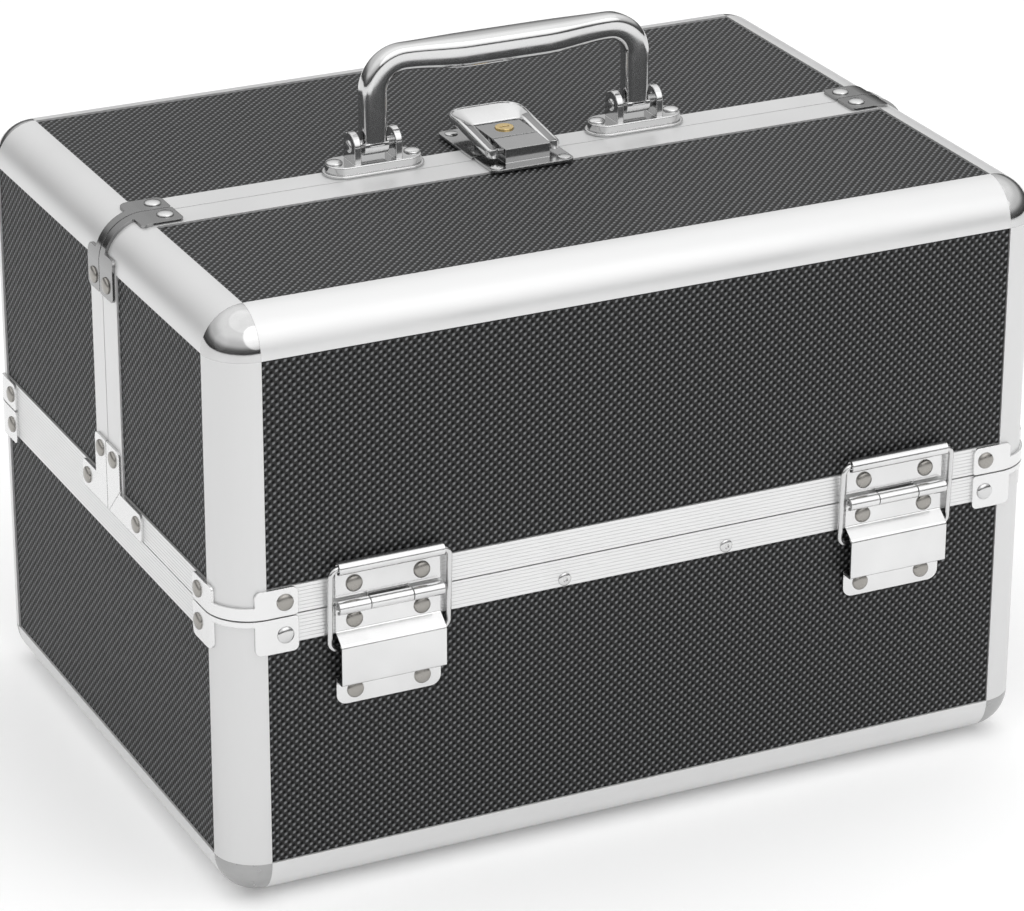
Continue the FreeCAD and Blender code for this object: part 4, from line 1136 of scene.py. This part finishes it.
# ------------------------------------------------------------------------------------------------ handle
@dataclass
class CarryHandle:
    """Chrome bail with a swollen grip, on two riveted brackets."""

    half_span: float = 49.2
    pivot_y: float = HANDLE_AXIS[1]
    pivot_z: float = HANDLE_AXIS[2]
    rise: float = 33.4
    half_width: float = 4.5
    half_depth: float = 3.8
    bend: float = 11.0
    swell: float = 0.9
    swell_depth: float = 1.7
    swell_half: float = 14.0
    grip_stations: int = 39
    corner: float = 0.62
    foot_round: float = 0.96
    foot_high: float = 1.0
    edge: float = 0.3
    smooth: float = 50.0
    bracket_length: float = 36.5
    bracket_width: float = 14.0
    bracket_height: float = 3.8
    bracket_edge: float = 0.45
    flange: float = 1.1
    step: float = 1.0
    nearly_round: float = 0.98
    ear_middle: float = 7.55
    ear_thick: float = 2.6
    ear_radius: float = 4.9
    ear_sunk: float = 0.5
    pin_radius: float = 1.5
    pin_head: tuple[tuple[float, float], ...] = ((2.2, 0.0), (2.0, 0.35), (1.3, 0.7), (0.0, 0.75))

    def centre_line(self) -> tuple[Array, Array, Array]:
        """Line along the bail, from the left foot over the grip to the right one.

        The swell's share is 3 t t - 2 t t t, where t falls from 1 over the middle to 0 at the bends.

        Returns:
            Points in X and Z, ways, and swell shares.
        """
        top = self.pivot_z + self.rise - self.half_width
        edge = self.half_span
        straight = edge - self.bend
        flat = open_path([(-edge, self.pivot_z), (-edge, top), (edge, top), (edge, self.pivot_z)],
                         [0, self.bend, self.bend, 0], steps=14)
        run = np.linspace(-straight, straight, self.grip_stations + 2)[1:-1]
        split = len(flat) // 2
        flat = np.concatenate([flat[:split], np.stack([run, np.full_like(run, top)], 1), flat[split:]])
        way = np.gradient(flat, axis=0)
        way /= np.linalg.norm(way, axis=1, keepdims=True)
        share = np.clip((straight - np.abs(flat[:, 0])) / (straight - self.swell_half), 0, 1)
        share = share * share * (3 - 2 * share) * (flat[:, 1] > top - 0.01)
        return flat, way, share

    def section(self, half_width: Array, half_depth: Array) -> Array:
        """Rectangle with rounded corners, scaled to each station."""
        unit = rounded([(-1, -1), (1, -1), (1, 1), (-1, 1)], self.corner, steps=5)
        return unit[None] * np.stack([half_width, half_depth], axis=1)[:, None]

    def bail(self) -> Surface:
        """The section carried along the centre line, hanging its swell below the top.

        Returns:
            The bail, without its feet.
        """
        flat, way, share = self.centre_line()
        width = self.half_width + self.swell * share
        depth = self.half_depth + self.swell_depth * share
        centres = np.stack([flat[:, 0], np.full(len(flat), self.pivot_y), flat[:, 1] - self.swell * share], 1)
        out = np.stack([-way[:, 1], np.zeros(len(way)), way[:, 0]], axis=1)
        back = np.broadcast_to((0.0, 1.0, 0.0), out.shape)
        return swept(self.section(width, depth), centres, out, back)

    def foot(self, side: Side) -> Surface:
        """Rounded lower end of a leg, about the pivot.

        Args:
            side: Side of the leg.

        Returns:
            The foot.
        """
        x, depth, high = side.value * self.half_span, self.half_depth, self.foot_high
        outline = rounded([(-depth, -depth), (depth, -depth), (depth, high), (-depth, high)],
                          [depth * self.foot_round, depth * self.foot_round, 0, 0], steps=8)
        return extruded(outline + (self.pivot_y, self.pivot_z), (1, 2, 0),
                        x - self.half_width, x + self.half_width)

    def oblong(self, x: float, inset: float, low: float, high: float) -> Surface:
        """Slab with round ends on the top of the case.

        Args:
            x: Middle of the slab.
            inset: How far it stays inside the bracket's outline.
            low: Height of its underside over the case.
            high: Height of its top.

        Returns:
            The slab.
        """
        half = self.bracket_width / 2 - inset
        corners = np.array([(-1, -1), (1, -1), (1, 1), (-1, 1)]) * (self.bracket_length / 2 - inset, half)
        outline = rounded(corners + (x, self.pivot_y), half * self.nearly_round, steps=10)
        return extruded(outline, (0, 1, 2), CASE_TOP + low, CASE_TOP + high)

    def bracket(self, side: Side) -> Surface:
        """Oblong block on a thin flange, with two round ears.

        Args:
            side: Side of the bracket.

        Returns:
            The bracket.
        """
        x, radius = side.value * self.half_span, self.ear_radius
        low, high = self.bracket_height - self.ear_sunk, self.pivot_z - CASE_TOP + radius
        ear = rounded([(-radius, low), (radius, low), (radius, high), (-radius, high)],
                      [0, 0, radius * self.nearly_round, radius * self.nearly_round], steps=10)
        starts = [x + way * self.ear_middle - self.ear_thick / 2 for way in (-1, 1)]
        ears = [extruded(ear + (self.pivot_y, CASE_TOP), (1, 2, 0), start, start + self.ear_thick)
                for start in starts]
        return Surface.joined([self.oblong(x, 0.0, 0.0, self.flange),
                               self.oblong(x, self.step, self.step, self.bracket_height), *ears])

    def pin(self, side: Side) -> Surface:
        """Pin with a domed head outside each ear.

        Args:
            side: Side of the pin.

        Returns:
            The pin.
        """
        half = self.ear_middle + self.ear_thick / 2
        upper = [(self.pin_radius, half), *((radius, half + height) for radius, height in self.pin_head)]
        profile = [(radius, -height) for radius, height in upper[::-1]] + upper
        place = (side.value * self.half_span, self.pivot_y, self.pivot_z)
        return revolved(profile).turned(upright_to((1, 0, 0)), place)

    def build(self, shop: Workshop) -> None:
        """Make the bail, its brackets and its pins.

        Args:
            shop: Workshop that makes the pieces.
        """
        bail = Surface.joined([self.bail(), *(self.foot(side) for side in Side)])
        shop.make(Piece("handle_bail", "handle", Finishes.chrome, ("handle",)), bail, self.edge, self.smooth)
        for side in Side:
            word = side.name.lower()
            shop.make(Piece(f"handle_bracket_{word}", "case_base", Finishes.chrome, ("handle_brackets",)),
                      self.bracket(side), self.bracket_edge)
            shop.make(Piece(f"handle_pin_{word}", "case_base", Finishes.silver_rivet, ("handle_pins",)),
                      self.pin(side))


# ------------------------------------------------------------------------------------------------ boards
@dataclass
class Emboss:
    """Boards whose outer face carries staggered strokes and pits, pressed into the laminate."""

    relief: float = 0.26
    border: float = 0.6
    samples: int = 4
    end_room: float = 0.2
    smooth: float = 75.0

    def stations(self, low: float, high: float, pitch: float) -> Array:
        """Places at each quarter of the pitch, and both ends.

        Args:
            low: First place.
            high: Last place.
            pitch: Length of one wave.

        Returns:
            Places in rising order.
        """
        step = pitch / self.samples
        first, last = math.ceil(low / step + self.end_room), math.floor(high / step - self.end_room)
        return np.concatenate([[low], np.arange(first, last + 1) * step, [high]])

    def board(self, low: Array, high: Array, face: Face) -> Surface:
        """Closed board between two corners.

        Its outer face stands out by relief * (slant * cos(p - q) + (1 - slant) * cos(p + q)), p and q
        being the turns along both axes, which fades to nothing at the border.

        Args:
            low: Lowest corner.
            high: Highest corner.
            face: Way the board faces.

        Returns:
            The board.
        """
        thin = face.thin
        first, second = [axis for axis in range(3) if axis != thin]
        outer, inner = (high[thin], low[thin]) if face.outward > 0 else (low[thin], high[thin])
        u = self.stations(low[first], high[first], PATTERN.across)[:, None]
        v = self.stations(low[second], high[second], PATTERN.along)[None, :]
        p, q = 2 * np.pi * u / PATTERN.across, 2 * np.pi * v / PATTERN.along * face.lean
        height = self.relief * (PATTERN.slant * np.cos(p - q) + (1 - PATTERN.slant) * np.cos(p + q))
        room = np.minimum(np.minimum(u - low[first], high[first] - u),
                          np.minimum(v - low[second], high[second] - v))
        height = height * np.clip(room / self.border, 0, 1)
        points = np.zeros(height.shape + (3,))
        points[..., first], points[..., second] = u, v
        points[..., thin] = outer + face.outward * height
        rows, columns = height.shape
        number = np.arange(rows * columns).reshape(rows, columns)
        rim = np.concatenate([number[0, :-1], number[:-1, -1], number[-1, :0:-1], number[:0:-1, 0]])
        back = points.reshape(-1, 3)[rim].copy()
        back[:, thin] = inner
        base = rows * columns + np.arange(len(rim))
        walls = np.stack([rim, np.roll(rim, -1), np.roll(base, -1), base], axis=1)
        faces = grid_faces(rows, columns) + walls.tolist() + [base.tolist()]
        return Surface(np.concatenate([points.reshape(-1, 3), back]), faces)

    def build(self, shop: Workshop) -> None:
        """Make an embossed board for each outer board but the bottom one.

        Args:
            shop: Workshop that makes the pieces.
        """
        nodes = {"base_front_board": "case_base", "base_rear_board": "case_base",
                 "base_side_boards": "case_base", "rear_upper_board": "case_base",
                 "rear_side_boards": "case_base", "rear_top_board": "case_base",
                 "lid_front_board": "front_lid", "lid_side_boards": "front_lid",
                 "lid_top_board": "front_lid"}
        for node, body in nodes.items():
            for number, (low, high) in enumerate(zip(*solids_of(node))):
                thin = int(np.argmin(high - low))
                face = Face.of(thin, int(np.sign((low + high)[thin] / 2 - CASE_MIDDLE[thin])))
                piece = Piece(f"{node}_{number + 1}_embossed", body, Finishes.panels[face], (node,))
                shop.make(piece, self.board(low, high, face), smooth=self.smooth)
        shop.dress(Finishes.panels[Face.LEVEL], "base_bottom_board")


# ------------------------------------------------------------------------------------------------ frame
class CaseFrame:
    """Rails, posts, caps and plates, which keep their CAD shapes."""

    def build(self, shop: Workshop) -> None:
        """Dress the frame's CAD nodes.

        Args:
            shop: Workshop that dresses the nodes.
        """
        shop.dress(Finishes.shaded_post, "base_front_posts", "rear_posts", "lid_posts")
        shop.dress(Finishes.rail, "bottom_rails", "lid_rails", "rear_top_rails", "lid_mouth_channels",
                   "rear_mouth_channels")
        shop.dress(Finishes.band, "base_front_band", "base_side_bands", "lid_bands", "rear_band")
        shop.dress(Finishes.plate, "base_corner_plates", "lid_corner_plates", "lid_junction_plates",
                   "rear_junction_plates")
        shop.dress(Finishes.strap, "lid_seam_straps", "rear_seam_straps")
        shop.dress(Finishes.cap, "lid_corner_caps", "rear_corner_caps")
        shop.dress(Finishes.foot_cap, "bottom_corner_caps")
        shop.dress(Finishes.rubber, "feet")


# ------------------------------------------------------------------------------------------------ lock
class Line(IntEnum):
    """Long lines of the hasp's section, from its outer underside over the top into the window."""

    OUTER_FOOT = 0
    SIDE_LOW = 1
    SIDE = 2
    SIDE_HIGH = 3
    RIM_OUTER = 4
    RIM_INNER = 6
    FLAT_OUTER = 7
    FLAT_INNER = 8
    WINDOW_EDGE = 10
    WALL_HIGH = 11
    POCKET_HIGH = 12
    POCKET_LOW = 13
    WALL_LOW = 14
    INNER_SIDE = 15
    INNER_FOOT = 16


@dataclass
class Lock:
    """Hasp with a raised rim, the block that it turns on, and the key lock behind it."""

    half_width: float = 13.5
    half_window: float = 9.2
    front: float = -15.5
    tail: float = 21.9
    tab: float = 9.3
    pivot_y: float = HASP_AXIS[1]
    pivot_z: float = HASP_AXIS[2]
    lift: float = 2.9
    thick: float = 3.2
    tip_turn: float = 86.0
    arc_points: int = 9
    arm_places: tuple[tuple[float, ...], ...] = ((-10.0, -8.0), (-4.0,), (2.0, 5.0))
    arm_ends: tuple[float, float] = (10.0, 6.4)
    hair: float = 0.01
    tail_corner: float = 7.0
    window_corner: float = 2.2
    tail_flat: float = 3.0
    rim: float = 1.15
    rim_slope: float = 0.35
    rim_places: tuple[float, ...] = (0.5, 0.1, 0.0, 0.12, 0.4, 0.8)
    rim_falls: tuple[float, ...] = (0.75, 0.2)
    rim_fade: tuple[float, float] = (0.3, 1.2)
    sunk: float = 0.5
    edge_places: tuple[float, ...] = (0.7, 0.15, 0.0, 0.0)
    edge_falls: tuple[float, ...] = (0.0, 0.1, 0.32, 0.42)
    outer_round: float = 0.35
    inner_round: float = 0.3
    dish: float = 0.19
    dish_start: float = 4.4
    wall_shares: tuple[float, float] = (0.12, 0.2)
    wall_room: float = 0.03
    pocket_y: tuple[float, float] = (-5.5, -2.5)
    pocket_z: tuple[float, float] = (212.1, 213.65)
    pocket_depth: float = 2.3
    hasp_smooth: float = 40.0
    mouth: float = -7.75
    block_half: float = 8.3
    block_nose: float = -17.65
    block_heights: tuple[float, float] = (6.6, 6.0)
    block_edge: float = 0.35
    plate_half: float = 15.5
    plate_front: float = -22.75
    plate_thick: float = 1.0
    plate_corners: tuple[float, ...] = (2.4, 2.4, 0.1, 0.1)

    def levels(self, y: Array) -> tuple[Array, Array]:
        """Bottom and top of the hasp: a straight rise from the pivot to the tab, and a thinner tail.

        Args:
            y: Places along the case.

        Returns:
            Heights of the bottom and of the top at each place.
        """
        share = np.clip((y - self.pivot_y) / (self.tab - self.pivot_y), 0, 1)
        taper = np.clip((y - self.tab) / (self.tail - self.tab), 0, 1) * self.thick / 4
        middle = self.pivot_z + self.lift * share
        return middle - self.thick / 2 + taper, middle + self.thick / 2

    def edge(self, arm: Array, reach: float, arm_end: float, end: float, radius: float) -> Array:
        """Edge of the hasp: along the left arm, through a quarter circle into the tail, and mirrored back.

        Args:
            arm: Points along the left arm.
            reach: Half width of the edge.
            arm_end: Last place on the straight arm.
            end: Place of the edge's straight end.
            radius: Radius of the quarter circle.

        Returns:
            Points in X and Y.
        """
        turn = np.radians(np.linspace(0, 90, self.arc_points))
        corner = np.stack([-reach + radius * (1 - np.cos(turn)), end - radius * (1 - np.sin(turn))], axis=1)
        left = np.concatenate([arm, [[-reach, arm_end]], corner, [[-self.tail_flat, end], [0.0, end]]])
        return np.concatenate([left, left[-2::-1] * (-1.0, 1.0)])

    def stations(self) -> tuple[Array, Array]:
        """Outer and inner points of the hasp, from the left arm's tip round to the right one's.

        The tip is round in plan: at an angle a its half width is half_arm cos a, half_arm sin a from
        where the arm ends.

        Returns:
            Points of the outer and of the inner edge, in X and Y.
        """
        middle, half_arm = (self.half_width + self.half_window) / 2, (self.half_width - self.half_window) / 2
        tip = np.radians(np.linspace(self.tip_turn, 0, self.arc_points))
        (low, high), (before, beside, behind) = self.pocket_y, self.arm_places
        arm = [*before, low - self.hair, low, *beside, high, high + self.hair, *behind]
        y = np.concatenate([self.front + half_arm * (1 - np.sin(tip)), arm])
        half = half_arm * np.concatenate([np.cos(tip), np.ones(len(arm))])
        outer = self.edge(np.stack([-middle - half, y], axis=1), self.half_width, self.arm_ends[0],
                          self.tail, self.tail_corner)
        inner = self.edge(np.stack([-middle + half, y], axis=1), self.half_window, self.arm_ends[1],
                          self.tab, self.window_corner)
        return outer, inner

    def hasp(self) -> Surface:
        """Section between the outer and inner edge at each station: rounded rim, sunk flat, window wall.

        A line lies a share of the way from the outer to the inner edge, and at the top level less its
        own fall. The rim's falls are whole everywhere, and the flat's fade to nothing at the arms' tips.
        The tail is dished by a share of its width.

        Returns:
            The hasp.
        """
        outer, inner = self.stations()
        width = np.linalg.norm(inner - outer, axis=1)[:, None]
        size = np.minimum(width / (self.half_width - self.half_window), 1.0)
        in_pocket = (inner[:, 1] >= self.pocket_y[0]) & (inner[:, 1] <= self.pocket_y[1])
        wall = width - self.pocket_depth * in_pocket[:, None]
        across = np.concatenate([np.array([*self.rim_places, self.rim, self.rim + self.rim_slope]) * size,
                                 width - np.array(self.edge_places) * size, wall.repeat(2, axis=1),
                                 width.repeat(2, axis=1), width - self.inner_round * size], axis=1)
        flat = outer[:, None] + (across / width)[..., None] * (inner - outer)[:, None]
        low, high = self.levels(flat[..., 1])
        lines = np.arange(across.shape[1])
        fall = np.zeros(len(lines))
        fall[Line.SIDE_HIGH:Line.RIM_OUTER + 1] = self.rim_falls
        fall[Line.FLAT_OUTER:Line.WINDOW_EDGE + 1] = self.sunk + np.array(self.edge_falls)
        dish = self.dish * np.clip(width - self.dish_start, 0, None) * (lines >= Line.FLAT_INNER)
        start, run = self.rim_fade
        near_tip = np.clip((outer[:, 1:] - self.front - start) / run, 0, 1)
        z = high - fall * np.where(lines > Line.RIM_INNER, near_tip, 1.0) - dish
        z[:, Line.OUTER_FOOT] = low[:, Line.OUTER_FOOT]
        z[:, Line.SIDE_LOW] = low[:, Line.SIDE_LOW] + self.outer_round
        z[:, Line.SIDE] = (z[:, Line.SIDE_LOW] + z[:, Line.SIDE_HIGH]) / 2
        for line, level in ((Line.WALL_HIGH, 1), (Line.POCKET_HIGH, 1),
                            (Line.POCKET_LOW, 0), (Line.WALL_LOW, 0)):
            plain = low[:, line] + (high - low)[:, line] * self.wall_shares[level]
            z[:, line] = np.where(in_pocket, self.pocket_z[level], plain)
        z[:, Line.WINDOW_EDGE] = np.maximum(z[:, Line.WINDOW_EDGE], z[:, Line.WALL_HIGH] + self.wall_room)
        z[:, Line.INNER_SIDE] = low[:, Line.INNER_SIDE] + self.inner_round
        z[:, Line.INNER_FOOT] = low[:, Line.INNER_FOOT]
        return grid_surface(np.concatenate([flat, z[..., None]], axis=2), wrap_columns=True, capped=True)

    def block(self) -> Surface:
        """Plate on the lid with rounded front corners, and a block that slopes down to the front.

        Returns:
            The block with its plate.
        """
        half, top = self.plate_half, CASE_TOP
        plate = rounded([(-half, self.plate_front), (half, self.plate_front), (half, self.mouth),
                         (-half, self.mouth)], self.plate_corners)
        high, low = self.block_heights
        side = np.array([(self.mouth, top), (self.mouth, top + high), (self.block_nose, top + low),
                         (self.block_nose, top)])
        return Surface.joined([extruded(plate, (0, 1, 2), top, top + self.plate_thick),
                               extruded(side, (1, 2, 0), -self.block_half, self.block_half)])

    def build(self, shop: Workshop) -> None:
        """Make the hasp and its block, and dress the lock's other CAD nodes.

        Args:
            shop: Workshop that makes the pieces.
        """
        shop.make(Piece("hasp_frame", "hasp", Finishes.ring, ("hasp",)), self.hasp(), smooth=self.hasp_smooth)
        shop.make(Piece("hasp_block_casting", "front_lid", Finishes.casting, ("hasp_block",)), self.block(),
                  self.block_edge)
        shop.dress(Finishes.casting, "lock_housing", "hasp_pin")
        shop.dress(Finishes.cap, "lock_bolt_left", "lock_bolt_right")
        shop.dress(Finishes.brass, "key_cylinder")


# ------------------------------------------------------------------------------------------------ interior
class Interior:
    """Linings, trays, dividers, arms and bars."""

    def build(self, shop: Workshop) -> None:
        """Dress the interior's CAD nodes.

        Args:
            shop: Workshop that dresses the nodes.
        """
        shop.dress(Finishes.lining, "case_linings", "lid_lining")
        shop.dress(Finishes.tray, "upper_tray", "lower_tray", "upper_dividers", "lower_dividers")
        shop.dress(Finishes.hinge, "tray_arm_left", "tray_arm_right", "tray_bars", "tray_pivots")


# ------------------------------------------------------------------------------------------------ studio
@dataclass(frozen=True)
class Lamp:
    """Round soft lamp. Its place and width are in metres and its power is in watts."""

    name: str
    at: tuple[float, float, float]
    size: float
    power: float


@dataclass
class Studio:
    """Pale floor, pale surroundings, soft lamps and the camera. Its places are in metres."""

    camera_at: tuple[float, float, float] = (-0.61370, -1.27668, 0.72005)
    right: tuple[float, float, float] = (0.90099554, -0.43382, 0.00269153)
    up: tuple[float, float, float] = (0.173395, 0.36579518, 0.91440038)
    lens: float = 155.09
    sensor: float = 36.0
    clip: tuple[float, float] = (0.05, 50.0)
    floor_half: float = 6.0
    floor_level: float = 0.9
    floor_roughness: float = 0.9
    floor_lift: float = 0.14
    sky: tuple[tuple[float, float], ...] = ((0.0, 0.05), (0.14, 0.14), (0.40, 0.78), (0.75, 1.15))
    aim_height: float = 0.11
    lamps: tuple[Lamp, ...] = (Lamp("key_lamp", (0.35, -1.75, 1.5), 2.4, 11.0),
                               Lamp("side_lamp", (-1.9, -0.2, 0.9), 1.4, 0.3),
                               Lamp("top_lamp", (0.1, -0.2, 2.3), 3.0, 4.5))

    def seen_share(self, nodes: Nodes) -> Socket:
        """1 for rays from the camera and rays that metal or glass sends on, 0 for others.

        Args:
            nodes: Node tree to add to.

        Returns:
            The share.
        """
        path = nodes.add("ShaderNodeLightPath")
        total = path.outputs["Is Camera Ray"]
        for name in ("Is Glossy Ray", "Is Transmission Ray"):
            total = nodes.math("MAXIMUM", total, path.outputs[name])
        return total

    def world(self) -> None:
        """Surroundings from a dark horizon over a grey wall to a pale ceiling. The camera sees white."""
        world = bpy.data.worlds.new("studio_world")
        bpy.context.scene.world = world
        world.use_nodes = True
        nodes = Nodes(world.node_tree)
        place = nodes.add("ShaderNodeTexCoord").outputs["Generated"]
        height = nodes.add("ShaderNodeSeparateXYZ", Vector=place).outputs["Z"]
        ramp = nodes.add("ShaderNodeValToRGB", Fac=height)
        seen = nodes.add("ShaderNodeLightPath").outputs["Is Camera Ray"]
        shown = nodes.blend(seen, ramp.outputs["Color"], grey(1.0))
        nodes.put(shown, nodes.tree.nodes["Background"].inputs["Color"])
        ramp.color_ramp.interpolation = "EASE"
        stops = ramp.color_ramp.elements
        while len(stops) < len(self.sky):
            stops.new(1.0)
        for stop, (height_share, level) in zip(stops, self.sky):
            stop.position, stop.color = height_share, grey(level)

    def floor(self) -> None:
        """Wide floor whose colour is lifted to white for the camera and keeps the shadow."""
        half = self.floor_half
        corners = [(-half, -half, 0), (half, -half, 0), (half, half, 0), (-half, half, 0)]
        mesh = bpy.data.meshes.new("studio_floor")
        mesh.from_pydata(corners, [], [(0, 1, 2, 3)])
        floor = bpy.data.objects.new("studio_floor", mesh)
        bpy.context.scene.collection.objects.link(floor)
        sheet = NodeSheet("studio_floor")
        lift = sheet.math("MULTIPLY", self.seen_share(sheet), self.floor_lift)
        sheet.set(Base_Color=grey(self.floor_level), Roughness=self.floor_roughness,
                  Emission_Color=grey(1.0), Emission_Strength=lift)
        mesh.materials.append(sheet.material)

    def light(self, lamp: Lamp) -> None:
        """Hang a lamp so that it looks at the middle of the case.

        Args:
            lamp: The lamp.
        """
        light = bpy.data.lights.new(lamp.name, "AREA")
        light.shape, light.size, light.energy = "DISK", lamp.size, lamp.power
        obj = bpy.data.objects.new(lamp.name, light)
        aim = Vector((0.0, 0.0, self.aim_height)) - Vector(lamp.at)
        obj.matrix_world = Matrix.Translation(lamp.at) @ aim.to_track_quat("-Z", "Y").to_matrix().to_4x4()
        bpy.context.scene.collection.objects.link(obj)

    def camera(self) -> None:
        """Camera with a long lens, from the upper left in front."""
        data = bpy.data.cameras.new("camera")
        data.lens, data.sensor_width, data.sensor_fit = self.lens, self.sensor, "HORIZONTAL"
        data.clip_start, data.clip_end = self.clip
        camera = bpy.data.objects.new("camera", data)
        right, up = Vector(self.right), Vector(self.up)
        turn = Matrix((right, up, right.cross(up))).transposed().to_4x4()
        camera.matrix_world = Matrix.Translation(self.camera_at) @ turn
        bpy.context.scene.collection.objects.link(camera)
        bpy.context.scene.camera = camera

    def build(self) -> None:
        """Set up the whole studio."""
        bpy.context.scene.view_settings.view_transform = "Standard"
        self.world()
        self.floor()
        for lamp in self.lamps:
            self.light(lamp)
        self.camera()


def main() -> None:
    """Build the studio and the case."""
    logging.basicConfig(level=logging.INFO, format="%(message)s")
    Studio().build()
    shop = Workshop()
    Emboss().build(shop)
    CaseFrame().build(shop)
    Lock().build(shop)
    Interior().build(shop)
    Rivets().build(shop)
    for side in Side:
        StayHinge(side).build(shop)
    CarryHandle().build(shop)


if __name__ == "__main__":
    main()
